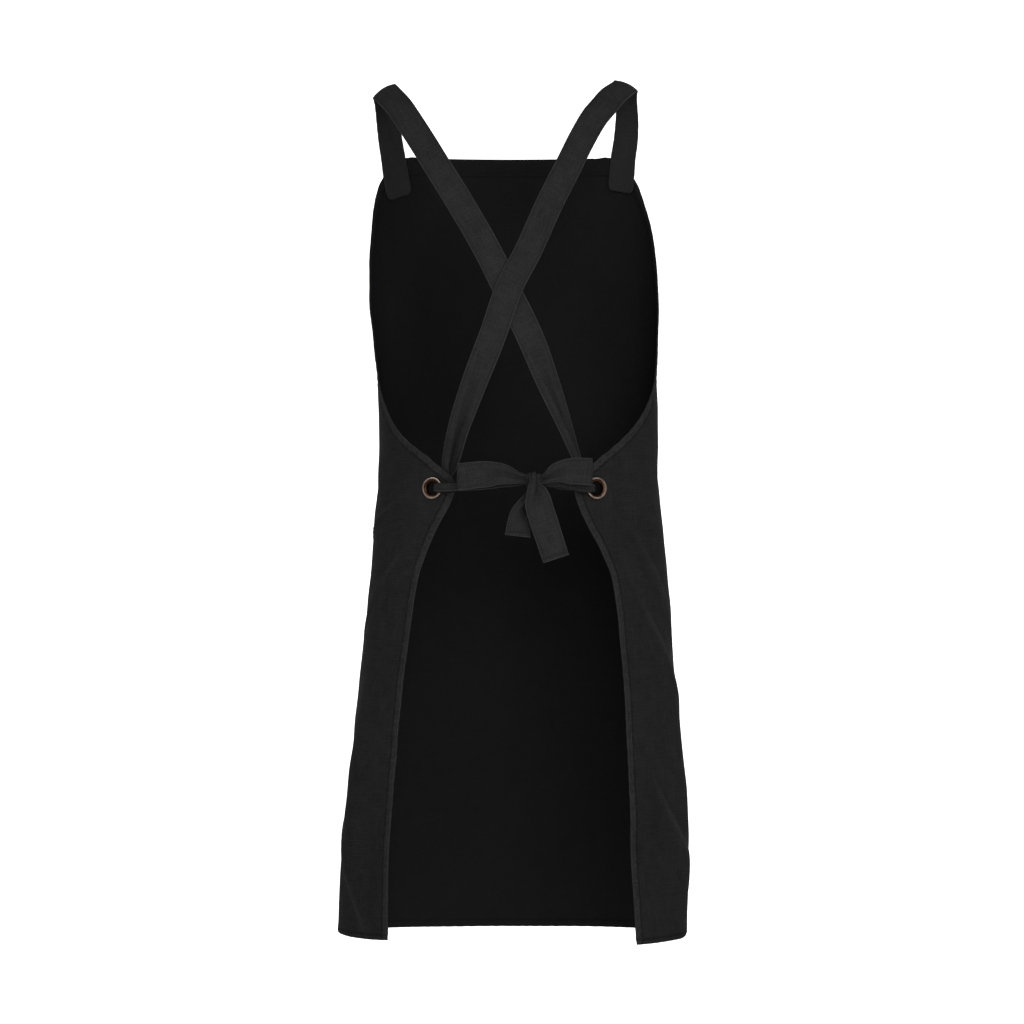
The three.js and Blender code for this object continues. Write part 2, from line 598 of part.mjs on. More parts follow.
// An eyelet and its washer, set together: a rolled flange outside, a barrel, a flat one inside.
function eyeletGeometry(eyelet) {
  const hole = EYELET_HOLE / 2;
  const rim = EYELET_OUTER / 2;
  const crest = (hole + rim) / 2;
  const outside = CLEARANCE;
  const inside = -HEM_THICKNESS - CLEARANCE;
  const metal = EYELET_METAL;
  const profile = [
    [hole, inside - metal],
    [rim - metal, inside - metal],
    [rim - metal, inside],
    [BARREL_OUTER, inside],
    [BARREL_OUTER, outside],
    [rim, outside],
    [rim, outside + metal],
    [mix(crest, rim, 0.6), outside + 2.1 * metal],
    [crest, outside + 2.6 * metal],
    [mix(crest, hole, 0.7), outside + 2.2 * metal],
    [hole, outside + metal],
    [hole, inside - metal],
  ];
  return closedLathe(turnedAtEyelet(profile, EYELET_SIDES, eyelet));
}

function closedLathe(geometry) {
  const bare = new THREE.BufferGeometry();
  bare.setAttribute('position', geometry.getAttribute('position').clone());
  bare.setIndex(geometry.getIndex().clone());
  const merged = mergeVertices(bare, 1e-4);
  const positions = Array.from(merged.getAttribute('position').array);
  return closedGeometry(positions, Array.from(merged.getIndex().array));
}

// The section of a strap across its width, as the middle line of the tape. fold 0 is flat, and
// fold 1 is the tape folded in three like a Z, three layers deep. Each point has its place
// across and above the face, and the direction square to the tape there.
function tapeSection(fold) {
  const arc = Math.PI * TAPE_BEND;
  const leg = (STRAP_WIDTH - 2 * arc) / 3;
  const turn = Math.PI * fold;
  const lengths = [leg, arc / 3, arc / 3, arc / 3, leg, arc / 3, arc / 3, arc / 3, leg];
  const kinks = [0, 1, 1, 1, 0, -1, -1, -1, 0];
  const points = [{ x: 0, y: 0 }];
  const headings = [];
  let heading = 0;
  lengths.forEach((length, i) => {
    const step = (kinks[i] * turn) / 3;
    const along = heading + step / 2;
    heading += step;
    headings.push(along);
    const last = points[points.length - 1];
    points.push({ x: last.x + length * Math.cos(along), y: last.y + length * Math.sin(along) });
  });
  const centreX = (Math.min(...points.map((p) => p.x)) + Math.max(...points.map((p) => p.x))) / 2;
  const centreY = (Math.min(...points.map((p) => p.y)) + Math.max(...points.map((p) => p.y))) / 2;
  return points.map((point, i) => {
    const before = headings[Math.max(i - 1, 0)];
    const after = headings[Math.min(i, headings.length - 1)];
    const square = (before + after) / 2 + Math.PI / 2;
    return {
      x: point.x - centreX,
      y: point.y - centreY,
      normalX: Math.cos(square),
      normalY: Math.sin(square),
    };
  });
}

// A flat strap along a smooth way. Each station has a point, the direction that the strap's face
// looks in, its fold, and how far it is squeezed across (width) and pressed together (press).
function strapGeometry(stations, steps) {
  const curve = new THREE.CatmullRomCurve3(stations.map((s) => s.at), false, 'centripetal');
  const lengths = chordShares(stations);
  const rows = stations.map((station, i) => ({
    along: lengths[i],
    x: station.face.x,
    y: station.face.y,
    z: station.face.z,
    fold: station.fold ?? 0,
    width: station.width ?? 1,
    press: station.press ?? 1,
    cup: station.cup ?? 0,
  }));
  const read = {};
  ['x', 'y', 'z', 'fold', 'width', 'press', 'cup'].forEach((column) => {
    read[column] = columnCurve(rows, 'along', column);
  });
  const outer = [];
  const inner = [];
  stepShares(lengths, steps).forEach(({ parameter, along }) => {
    const centre = curve.getPoint(parameter);
    const tangent = curve.getTangent(parameter);
    const face = new THREE.Vector3(read.x(along), read.y(along), read.z(along));
    face.addScaledVector(tangent, -face.dot(tangent)).normalize();
    const across = new THREE.Vector3().crossVectors(tangent, face).normalize();
    const outerRow = [];
    const innerRow = [];
    const squeeze = read.width(along);
    const press = read.press(along);
    const cup = read.cup(along) * (4 / STRAP_WIDTH ** 2);
    tapeSection(read.fold(along)).forEach((point) => {
      const place = (offset) => centre.clone()
        .addScaledVector(across, (point.x + offset * point.normalX) * squeeze)
        .addScaledVector(face, (point.y + offset * point.normalY) * press + cup * point.x ** 2);
      outerRow.push(place(STRAP_THICKNESS / 2));
      innerRow.push(place(-STRAP_THICKNESS / 2));
    });
    outer.push(outerRow);
    inner.push(innerRow);
  });
  return closedSheet(outer, inner);
}

function chordShares(stations) {
  const sums = [0];
  for (let i = 1; i < stations.length; i += 1) {
    sums.push(sums[i - 1] + stations[i].at.distanceTo(stations[i - 1].at));
  }
  return sums.map((sum) => sum / sums[sums.length - 1]);
}

// Steps along a strap, with the same number between each two stations as its length needs.
function stepShares(lengths, steps) {
  const shares = [];
  for (let i = 0; i + 1 < lengths.length; i += 1) {
    const count = Math.max(1, Math.round((lengths[i + 1] - lengths[i]) * steps));
    for (let j = 0; j < count; j += 1) {
      const t = j / count;
      shares.push({
        parameter: (i + t) / (lengths.length - 1),
        along: mix(lengths[i], lengths[i + 1], t),
      });
    }
  }
  shares.push({ parameter: 1, along: 1 });
  return shares;
}

// A direction in an eyelet's own frame.
function eyeletDirection(eyelet, inward, up, out) {
  return new THREE.Vector3()
    .addScaledVector(eyelet.inward, inward)
    .addScaledVector(eyelet.up, up)
    .addScaledVector(eyelet.normal, out);
}

const KNOT_CENTRE = EYELETS.left.centre.clone().lerp(EYELETS.right.centre, KNOT_SHARE);
KNOT_CENTRE.add(new THREE.Vector3(0, KNOT_REAR, KNOT_LIFT));

// The knot is a rounded block, pinched where the wrap's folds run over it.
function knotGeometry(growth) {
  const ball = new THREE.SphereGeometry(1, 16, 10);
  const place = ball.getAttribute('position');
  const soften = (value) => Math.sign(value) * Math.abs(value) ** KNOT_SQUARENESS;
  for (let i = 0; i < place.count; i += 1) {
    const point = new THREE.Vector3().fromBufferAttribute(place, i);
    const crease = 1 - KNOT_CREASE * Math.cos(5 * point.x + 1.5 * point.z);
    place.setXYZ(
      i,
      KNOT_CENTRE.x + soften(point.x) * (KNOT_WIDTH / 2 + growth),
      KNOT_CENTRE.y + soften(point.y) * (KNOT_DEPTH / 2 * crease + growth),
      KNOT_CENTRE.z + soften(point.z) * (KNOT_HEIGHT / 2 * crease + growth),
    );
  }
  return closedLathe(ball);
}

// The sewn end follows the bib's curve, so its edges lie closer to the wearer by a sag.
function tabStations(side) {
  const { sign, tab, foot, head } = SIDES[side];
  const settled = sign * edgeColumn[side](TAB_SETTLE);
  const sag = (STRAP_WIDTH * STRAP_WIDTH) / 8 / TAB_RADIUS;
  const depth = HEM_THICKNESS + TAB_GAP + STRAP_THICKNESS / 2 + sag / 2;
  return TAB_ROUTE.map(({ share, width }) => {
    const drop = (share * tab) / PANEL_LENGTH;
    const angle = settled * mix(head, foot, share);
    const normal = panelNormal(angle, Math.max(drop, 0.01));
    const at = panelPoint(angle, drop).addScaledVector(normal, -depth);
    return { at, face: normal, cup: -sag, width };
  });
}

// A whole strap: its sewn end, over the shoulder, down the back, through the opposite eyelet and
// along to the knot.
function strapStations(side) {
  const { sign, other, bow } = SIDES[side];
  const eyelet = EYELETS[other];
  const eyeletDrop = -eyelet.centre.z;
  const back = BACK_ROUTE[side].map((row) => ({
    at: new THREE.Vector3(
      sign * row.across * SHOULDER_HALF,
      row.out * HALF_DEPTH,
      STRAP_THICKNESS - row.drop * eyeletDrop,
    ),
    face: new THREE.Vector3(sign * row.side, row.rear, row.up),
    fold: BACK_FOLD * smoothStep((row.drop - BACK_FOLD_START) / (1 - BACK_FOLD_START)),
  }));
  const tab = tabStations(side);
  const start = tab[tab.length - 1];
  const crest = back[0];
  const front = FRONT_ROUTE.map((row) => ({
    at: new THREE.Vector3(
      mix(start.at.x, crest.at.x, row.across) + sign * bow * Math.sin(Math.PI * row.rise),
      mix(start.at.y, crest.at.y, row.over),
      mix(start.at.z, crest.at.z, row.rise),
    ),
    face: start.face.clone().lerp(crest.face, row.rise ** 2),
  }));
  const through = EYELET_ROUTE.map((row) => ({
    at: eyelet.centre.clone().add(eyeletDirection(
      eyelet,
      row.inward * EYELET_HOLE,
      row.up * EYELET_HOLE,
      row.out * EYELET_HOLE,
    )),
    face: eyeletDirection(eyelet, row.faceIn, 0, row.faceOut),
    fold: row.fold,
    width: row.width,
    press: row.press,
  }));
  const leave = through[through.length - 1].at;
  const knotSide = KNOT_CENTRE.clone().add(new THREE.Vector3(
    SIDES[other].sign * TIE_INTO_KNOT.side,
    TIE_INTO_KNOT.rear,
    TIE_INTO_KNOT.up,
  ));
  const tie = TIE_ROUTE.map((row) => ({
    at: leave.clone().lerp(knotSide, row.along)
      .add(new THREE.Vector3(0, row.rear * HALF_DEPTH, 0)),
    face: new THREE.Vector3(0, -1, 0),
    fold: row.fold,
  }));
  return [...tab, ...front, ...back, ...through, ...tie];
}

function loopStations(side, length) {
  const { sign, lift } = SIDES[side];
  return LOOP_ROUTE.map((row, i) => {
    const turn = Math.PI * smoothStep((i - 3) / (LOOP_ROUTE.length - 7));
    return {
      at: KNOT_CENTRE.clone().add(new THREE.Vector3(
        sign * (KNOT_WIDTH / 2 + row.out * length),
        LOOP_REAR + row.gap * LOOP_GAP,
        row.rise * STRAP_WIDTH + lift * length * row.out,
      )),
      face: new THREE.Vector3(sign * Math.sin(turn), -Math.cos(turn), 0),
      fold: row.fold,
      width: row.width,
    };
  });
}

function tailStations(name, length) {
  return TAIL_ROUTES[name].map((row) => ({
    at: KNOT_CENTRE.clone().add(new THREE.Vector3(
      -row.across * STRAP_WIDTH,
      row.rear * KNOT_DEPTH,
      -KNOT_HEIGHT / 2 - row.down * length,
    )),
    face: new THREE.Vector3(0, 1, 0),
    fold: row.fold,
    width: row.width,
  }));
}

const group = new THREE.Group();

function addPart(name, geometry, color, roughness, metalness) {
  const material = new THREE.MeshStandardMaterial({ color, roughness, metalness });
  geometry.computeVertexNormals();
  const mesh = new THREE.Mesh(geometry, material);
  mesh.name = name;
  group.add(mesh);
}

const CANVAS_COLOUR = 0x2a2a2a;
const STRAP_COLOUR = 0x2f2f2f;
const COPPER_COLOUR = 0x7a4a33;

let panel = toSolid(panelGeometry());
Object.values(EYELETS).forEach((eyelet) => {
  panel = panel.subtract(eyeletCut(eyelet));
});
addPart('apron_body', fromSolid(panel), CANVAS_COLOUR, 0.92, 0);

const knotRoom = toSolid(knotGeometry(CLEARANCE));
const tape = (stations, steps) => fromSolid(toSolid(strapGeometry(stations, steps))
  .subtract(knotRoom));
addPart('strap_left', tape(strapStations('left'), STRAP_STEPS), STRAP_COLOUR, 0.9, 0);
addPart('strap_right', tape(strapStations('right'), STRAP_STEPS), STRAP_COLOUR, 0.9, 0);
addPart('bow_knot', knotGeometry(0), STRAP_COLOUR, 0.9, 0);
addPart('bow_loop_left', tape(loopStations('left', LOOP_LEFT), LOOP_STEPS), STRAP_COLOUR, 0.9, 0);
addPart('bow_loop_right', tape(loopStations('right', LOOP_RIGHT), LOOP_STEPS), STRAP_COLOUR, 0.9, 0);
addPart('tie_end_long', tape(tailStations('long', TAIL_LONG), TAIL_STEPS), STRAP_COLOUR, 0.9, 0);
addPart('tie_end_short', tape(tailStations('short', TAIL_SHORT), TAIL_STEPS), STRAP_COLOUR, 0.9, 0);
Object.values(EYELETS).forEach((eyelet) => {
  addPart(`eyelet_${eyelet.side}`, eyeletGeometry(eyelet), COPPER_COLOUR, 0.35, 1);
});

export default group;
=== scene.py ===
"""A cross back canvas apron in the form that it has on a wearer, seen from behind in a studio.

Lengths are millimetres in the shape code and metres in the meshes. +Z is up, the bib faces -Y,
the bow faces +Y and +X is the wearer's left.
"""

import logging
from dataclasses import dataclass
from enum import Enum
from typing import Optional, Union

import bmesh
import bpy
import numpy as np
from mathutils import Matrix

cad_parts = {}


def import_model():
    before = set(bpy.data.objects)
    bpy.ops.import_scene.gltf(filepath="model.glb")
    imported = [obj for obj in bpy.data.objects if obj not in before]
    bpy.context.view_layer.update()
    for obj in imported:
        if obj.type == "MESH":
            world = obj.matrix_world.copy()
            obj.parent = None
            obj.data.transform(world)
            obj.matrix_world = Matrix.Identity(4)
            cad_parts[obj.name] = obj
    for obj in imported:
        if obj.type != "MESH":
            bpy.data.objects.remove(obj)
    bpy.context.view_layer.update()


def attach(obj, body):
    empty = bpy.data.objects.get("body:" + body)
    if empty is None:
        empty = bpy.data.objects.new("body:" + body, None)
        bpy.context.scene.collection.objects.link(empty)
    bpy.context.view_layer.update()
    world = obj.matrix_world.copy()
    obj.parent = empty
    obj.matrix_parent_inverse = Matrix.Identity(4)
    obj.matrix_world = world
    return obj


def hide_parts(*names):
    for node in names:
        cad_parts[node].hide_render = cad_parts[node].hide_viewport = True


LOG = logging.getLogger("apron")
Array = np.ndarray
Amount = Union[np.ndarray, float]
Value = Union["Number", float]
Tone = tuple[float, float, float]
MM = 0.001


class Side(Enum):
    """The wearer's two sides: the sign of X there."""

    LEFT = 1
    RIGHT = -1

    @property
    def other(self) -> "Side":
        """The opposite side."""
        return Side(-self.value)

    @property
    def label(self) -> str:
        """The side's name in small letters."""
        return self.name.lower()


@dataclass(frozen=True)
class Cut:
    """The apron's own sizes in millimetres. The drops are shares of the length."""

    length: float = 845.0
    bib_drop: float = 75.0
    half_width: float = 190.0
    half_depth: float = 138.0
    shoulder_half: float = 136.0
    strap_width: float = 29.0
    strap_thickness: float = 1.3
    canvas: float = 1.2
    hem: float = 2.4
    side_hem: float = 10.0
    top_hem: float = 18.0
    bottom_hem: float = 7.0
    clearance: float = 0.3
    corner_drop: float = 0.425
    eyelet_below_corner: float = 4.0
    eyelet_inset: float = 28.3
    sewn_end_drop: float = 0.043
    knot: float = 18.0
    loop_left: float = 72.0
    loop_right: float = 53.0
    loop_gap: float = 8.0
    tail_long: float = 75.0
    tail_short: float = 51.0


CUT = Cut()

# drop (share of the length), then left, right, front and back half sizes as shares.
SECTIONS = np.array([
    (0.000, 0.863, 0.842, 0.565, 0.740),
    (0.028, 0.868, 0.842, 0.623, 0.740),
    (0.060, 0.869, 0.842, 0.681, 0.740),
    (0.125, 0.861, 0.861, 0.775, 0.740),
    (0.190, 0.832, 0.849, 0.819, 0.740),
    (0.290, 0.769, 0.828, 0.783, 0.740),
    (0.367, 0.758, 0.832, 0.732, 0.746),
    (0.430, 0.775, 0.841, 0.717, 0.768),
    (0.530, 0.805, 0.882, 0.754, 0.812),
    (0.620, 0.842, 0.916, 0.804, 0.862),
    (0.740, 0.900, 0.960, 0.877, 0.913),
    (0.860, 0.954, 0.986, 0.942, 0.949),
    (1.000, 0.997, 0.992, 1.000, 0.978),
])

# drop, then the angle of the left and right edges of the cloth, in degrees from the front.
CLOTH_EDGE = np.array([
    (0.0000, 45.0, 43.0), (0.0050, 50.0, 47.5), (0.0140, 54.5, 52.0), (0.0263, 59.0, 56.5),
    (0.0430, 63.5, 61.5), (0.0826, 69.0, 69.0), (0.1346, 73.5, 75.5), (0.1870, 78.5, 81.5),
    (0.2390, 83.5, 88.0), (0.2800, 91.0, 95.0), (0.3120, 104.0, 107.5), (0.3430, 115.3, 119.7),
    (0.3740, 131.7, 135.0), (0.3893, 141.3, 142.9), (0.4045, 148.9, 149.6),
    (0.4140, 153.2, 153.6), (0.4200, 155.4, 155.5), (0.4250, 156.1, 156.1),
    (0.4310, 155.9, 155.9), (0.4497, 153.6, 154.3), (0.4798, 147.9, 150.1),
    (0.5100, 143.1, 144.9), (0.5453, 138.9, 140.6), (0.6207, 136.3, 138.3),
    (0.7210, 134.9, 137.8), (0.8710, 134.2, 137.7), (1.0000, 135.6, 135.4),
])

# angle, dip of the bottom edge as a share of the bottom hem.
HEM_DIP = np.array([
    (-136, 0.35), (-108, 0.30), (-86, -0.45), (-60, 0.25), (0, 0.80), (60, 0.30), (90, -0.55),
    (122, -0.20), (136, -0.35),
])

# top, bottom, start angle, end angle, width and rise as shares of the half depth.
FOLDS = np.array([
    (0.480, 0.700, -143, -101, 0.085, -0.024), (0.560, 0.700, -109, -84, 0.120, -0.014),
    (0.630, 1.080, -104, -101, 0.150, 0.048), (0.660, 1.060, -122, -118, 0.130, -0.036),
    (0.720, 1.080, -72, -70, 0.200, -0.036), (0.440, 0.560, -132, -116, 0.070, -0.018),
    (0.440, 0.560, 132, 112, 0.070, -0.018), (0.560, 1.060, 112, 104, 0.160, 0.040),
    (0.700, 1.080, 88, 86, 0.110, -0.032), (0.780, 1.080, 124, 121, 0.100, -0.026),
    (0.560, 1.080, 46, 50, 0.260, 0.036), (0.620, 1.080, 18, 20, 0.200, -0.026),
    (0.600, 1.080, -16, -20, 0.240, 0.032), (0.640, 1.080, -44, -47, 0.180, -0.028),
    (0.340, 0.470, 74, 98, 0.120, -0.026), (0.330, 0.460, -76, -98, 0.120, -0.026),
    (0.060, 0.340, 40, 52, 0.220, -0.022), (0.060, 0.340, -40, -52, 0.220, -0.022),
])

# the same for sharp creases, whose ridges get a painted highlight.
CREASES = np.array([
    (0.470, 0.680, -128, -86, 0.042, 0.032), (0.540, 0.740, -132, -87, 0.042, 0.020),
    (0.760, 0.990, -131, -84, 0.042, 0.024), (0.425, 0.505, 138, 80, 0.038, 0.017),
    (0.470, 0.650, 145, 76, 0.038, 0.015), (0.800, 1.040, 85, 132, 0.038, 0.017),
])

# across, out, drop, and the side, rear and up parts of the face's direction.
BACK_ROUTE = {
    Side.LEFT: np.array([
        (1.030, 0.000, 0.015, 0.53, 0.00, 0.85), (0.982, 0.138, 0.032, 0.45, 0.42, 0.79),
        (0.895, 0.268, 0.065, 0.38, 0.62, 0.69), (0.829, 0.362, 0.097, 0.33, 0.74, 0.58),
        (0.703, 0.500, 0.160, 0.27, 0.85, 0.45), (0.583, 0.594, 0.222, 0.21, 0.91, 0.35),
        (0.408, 0.688, 0.311, 0.14, 0.96, 0.24), (0.191, 0.742, 0.429, 0.05, 0.99, 0.12),
        (0.018, 0.760, 0.538, 0.00, 1.00, 0.03), (-0.132, 0.757, 0.632, -0.10, 0.99, 0.00),
        (-0.280, 0.738, 0.747, -0.22, 0.97, -0.05), (-0.425, 0.690, 0.862, -0.36, 0.93, -0.06),
    ]),
    Side.RIGHT: np.array([
        (0.914, 0.000, 0.002, 0.42, 0.00, 0.91), (0.806, 0.162, 0.032, 0.38, 0.44, 0.81),
        (0.722, 0.276, 0.066, 0.34, 0.64, 0.69), (0.645, 0.366, 0.098, 0.30, 0.75, 0.58),
        (0.536, 0.504, 0.160, 0.24, 0.86, 0.45), (0.440, 0.602, 0.222, 0.19, 0.91, 0.35),
        (0.298, 0.702, 0.311, 0.13, 0.96, 0.24), (0.121, 0.764, 0.433, 0.04, 0.99, 0.12),
        (-0.019, 0.786, 0.517, 0.00, 1.00, 0.03), (-0.148, 0.777, 0.632, -0.10, 0.99, 0.00),
        (-0.292, 0.745, 0.747, -0.22, 0.97, -0.05), (-0.420, 0.692, 0.862, -0.36, 0.93, -0.06),
    ]),
}

# rise from the bib's edge to the crest, and the shares of the way outward and back to it.
FRONT_ROUTE = np.array([
    (0.26, 0.26, 0.09), (0.54, 0.54, 0.22), (0.78, 0.78, 0.40), (0.93, 0.92, 0.62),
    (0.99, 0.98, 0.82),
])

# inward, up and out in shares of the eyelet's hole, face inward and outward, fold, width, press.
EYELET_ROUTE = np.array([
    (0.98, 1.62, -0.84, 0.0, 1.0, 0.70, 1.00, 1.00),
    (0.82, 0.88, -0.78, 0.0, 1.0, 1.00, 0.96, 0.92),
    (0.62, 0.30, -0.66, 0.1, 1.0, 1.00, 0.90, 0.80),
    (0.40, 0.04, -0.52, 0.5, 0.9, 1.00, 0.84, 0.66),
    (0.255, 0.00, -0.28, 1.0, 0.1, 1.00, 0.80, 0.60),
    (0.250, 0.00, -0.03, 1.0, 0.0, 1.00, 0.80, 0.60),
    (0.280, 0.00, 0.18, 1.0, -0.2, 1.00, 0.82, 0.60),
    (0.46, 0.00, 0.35, 0.5, -0.9, 1.00, 0.88, 0.66),
    (0.80, 0.00, 0.38, 0.0, -1.0, 1.00, 1.00, 0.72),
    (1.40, 0.00, 0.44, 0.0, -1.0, 0.96, 1.00, 0.86),
])

# along the way to the knot, how far behind the line, fold.
TIE_ROUTE = np.array([(0.24, 0.014, 0.84), (0.50, 0.010, 0.80), (0.80, 0.002, 0.94), (1, 0, 1)])

# share of the sewn end's length, width.
TAB_ROUTE = np.array([(1.00, 0.76), (0.91, 1.03), (0.78, 1.09), (0.44, 1.09), (0.02, 1.06)])

# length, place of its foot and head as shares of the cloth's edge angle, bow of the front part.
SEWN_ENDS = {Side.LEFT: (43.0, 0.779, 0.850, 0.0), Side.RIGHT: (37.0, 0.800, 0.828, 2.5)}

# out along the loop, rise, gap, fold, width.
LOOP_ROUTE = np.array([
    (-0.06, 0.00, 0.06, 0.16, 0.34), (0.10, 0.08, 0.07, 0.20, 0.46),
    (0.34, 0.22, 0.10, 0.20, 0.82), (0.62, 0.20, 0.02, 0.10, 0.98),
    (0.88, 0.13, 0.02, 0.00, 0.98), (0.985, 0.10, 0.28, 0.00, 0.98),
    (0.985, 0.10, 0.72, 0.00, 0.98), (0.88, 0.13, 0.98, 0.00, 0.98),
    (0.62, 0.20, 1.00, 0.10, 0.98), (0.34, 0.22, 0.98, 0.20, 0.82),
    (0.10, 0.08, 0.54, 0.20, 0.46), (-0.06, 0.00, 0.54, 0.16, 0.34),
])

# down, across, rear, fold, width.
LONG_TAIL = np.array([
    (-0.20, -0.05, 0.30, 1.00, 0.86), (-0.12, -0.03, 0.58, 0.94, 0.88),
    (-0.02, 0.04, 0.69, 0.60, 0.98), (0.10, 0.12, 0.62, 0.30, 1.00),
    (0.26, 0.20, 0.48, 0.08, 1.02), (0.48, 0.38, 0.34, 0.02, 1.02),
    (0.74, 0.60, 0.20, 0.00, 1.00), (1.00, 0.82, 0.10, 0.00, 0.99),
])
SHORT_TAIL = np.array([
    (-0.10, 0.00, -0.30, 1.00, 0.70), (0.10, -0.10, -0.28, 0.80, 0.80),
    (0.35, -0.30, -0.16, 0.45, 0.85), (0.62, -0.51, -0.18, 0.14, 0.82),
    (1.00, -0.58, -0.24, 0.00, 0.94),
])


def smooth_step(value: Array) -> Array:
    """0 below 0, 1 above 1, and 3t^2 - 2t^3 between."""
    t = np.clip(value, 0.0, 1.0)
    return t * t * (3 - 2 * t)


def unit(vectors: Array) -> Array:
    """The same directions with length 1."""
    return vectors / np.linalg.norm(vectors, axis=-1, keepdims=True)


def piece_of(name: str, points: Array, quads: Array, marks: dict[str, Array],
             uv: Optional[Array] = None) -> bpy.types.Object:
    """Makes a smooth shaded object in the scene.

    Args:
        name: The piece's name.
        points: Its points in millimetres.
        quads: The four point numbers of each face.
        marks: Numbers per point by name.
        uv: Places on the flat cloth in metres, per point.

    Returns:
        The object.
    """
    data = bpy.data.meshes.new(name)
    data.from_pydata(points * MM, [], quads.tolist())
    if uv is not None:
        data.uv_layers.new(name="cloth").data.foreach_set(
            "uv", uv[quads.reshape(-1)].astype(np.float32).ravel())
    for key, values in marks.items():
        data.attributes.new(key, "FLOAT", "POINT").data.foreach_set(
            "value", values.reshape(-1).astype(np.float32))
    data.polygons.foreach_set("use_smooth", np.ones(len(quads), bool))
    data.update()
    piece = bpy.data.objects.new(name, data)
    bpy.context.scene.collection.objects.link(piece)
    return piece


def outwards(points: Array, quads: Array, middle: Amount = 0.0) -> Array:
    """The quads turned so that their faces point away from a middle, all at once.

    Args:
        points: The mesh's points.
        quads: The point numbers of each face.
        middle: A point inside.

    Returns:
        The quads, as they were or all reversed.
    """
    corner = points[quads]
    spread = np.cross(corner[:, 2] - corner[:, 0], corner[:, 3] - corner[:, 1])
    return quads[:, ::-1] if ((corner.mean(1) - middle) * spread).sum() < 0 else quads


class Column:
    """A smooth reading of one table column, which never overshoots its rows.

    Between rows it is a cubic whose slope at each row is the harmonic mean of the slopes
    beside it, or zero where they differ in sign.
    """

    def __init__(self, at: Array, value: Array) -> None:
        """Keeps the rows and works out their slopes.

        Args:
            at: The place of each row.
            value: The column's value there.
        """
        self.at = np.asarray(at, float)
        self.value = np.asarray(value, float)
        slope = np.diff(self.value) / np.diff(self.at)
        before, after = slope[:-1], slope[1:]
        same = before * after > 0
        total = np.where(same, before + after, 1.0)
        inner = np.where(same, 2 * before * after / total, 0.0)
        self.slope = np.concatenate([slope[:1], inner, slope[-1:]])

    def __call__(self, at: Array) -> Array:
        """The column's value at each place.

        Args:
            at: Places, held within the first and last row.

        Returns:
            The values.
        """
        i = np.clip(np.searchsorted(self.at, at, side="right") - 1, 0, len(self.at) - 2)
        span = self.at[i + 1] - self.at[i]
        t = np.clip((at - self.at[i]) / span, 0.0, 1.0)
        start, end = self.value[i], self.value[i + 1]
        level = (1 + 2 * t) * (1 - t) ** 2 * start + t * t * (3 - 2 * t) * end
        lean = t * (1 - t) ** 2 * self.slope[i] - t * t * (1 - t) * self.slope[i + 1]
        return level + lean * span


@dataclass
class Grid:
    """A closed cloth shell, as points on its outer and inner faces and numbers on its cells.

    outer and inner have the shape (rows, columns, 3) in millimetres. keep says which cells are
    cloth. uv is the place on the flat cloth in metres, and marks holds named numbers per point.
    """

    outer: Array
    inner: Array
    uv: Array
    marks: dict[str, Array]
    keep: Optional[Array] = None

    def mesh(self, name: str) -> bpy.types.Object:
        """Joins both faces and every rim into one closed mesh object.

        Args:
            name: The piece's name.

        Returns:
            The object, smooth shaded, with the UV map "cloth" and the point attributes.
        """
        rows, columns = self.outer.shape[:2]
        keep = np.ones((rows - 1, columns - 1), bool) if self.keep is None else self.keep
        place = np.arange(rows * columns).reshape(rows, columns)
        shift = rows * columns
        a, b = place[:-1, :-1][keep], place[:-1, 1:][keep]
        d, c = place[1:, :-1][keep], place[1:, 1:][keep]
        faces = [np.stack([a, d, c, b], -1), np.stack([a, b, c, d], -1) + shift]
        padded = np.pad(keep, 1).astype(int)
        for step, head, tail in (
            (np.diff(padded[1:-1], axis=1), place[:-1], place[1:]),
            (-np.diff(padded[:, 1:-1], axis=0), place[:, :-1], place[:, 1:]),
        ):
            for sign in (1, -1):
                edge = step == sign
                first, last = (head[edge], tail[edge]) if sign > 0 else (tail[edge], head[edge])
                faces.append(np.stack([last, first, first + shift, last + shift], -1))
        quads = np.concatenate(faces)
        points = np.concatenate([self.outer.reshape(-1, 3), self.inner.reshape(-1, 3)])
        used, quads = np.unique(quads, return_inverse=True)
        points = points[used]
        quads = outwards(points, quads.reshape(-1, 4))
        marks = {key: np.concatenate([values.reshape(-1)] * 2)[used]
                 for key, values in self.marks.items()}
        marks["inside"] = (used >= shift).astype(float)
        return piece_of(name, points, quads, marks,
                        np.concatenate([self.uv.reshape(-1, 2)] * 2)[used])


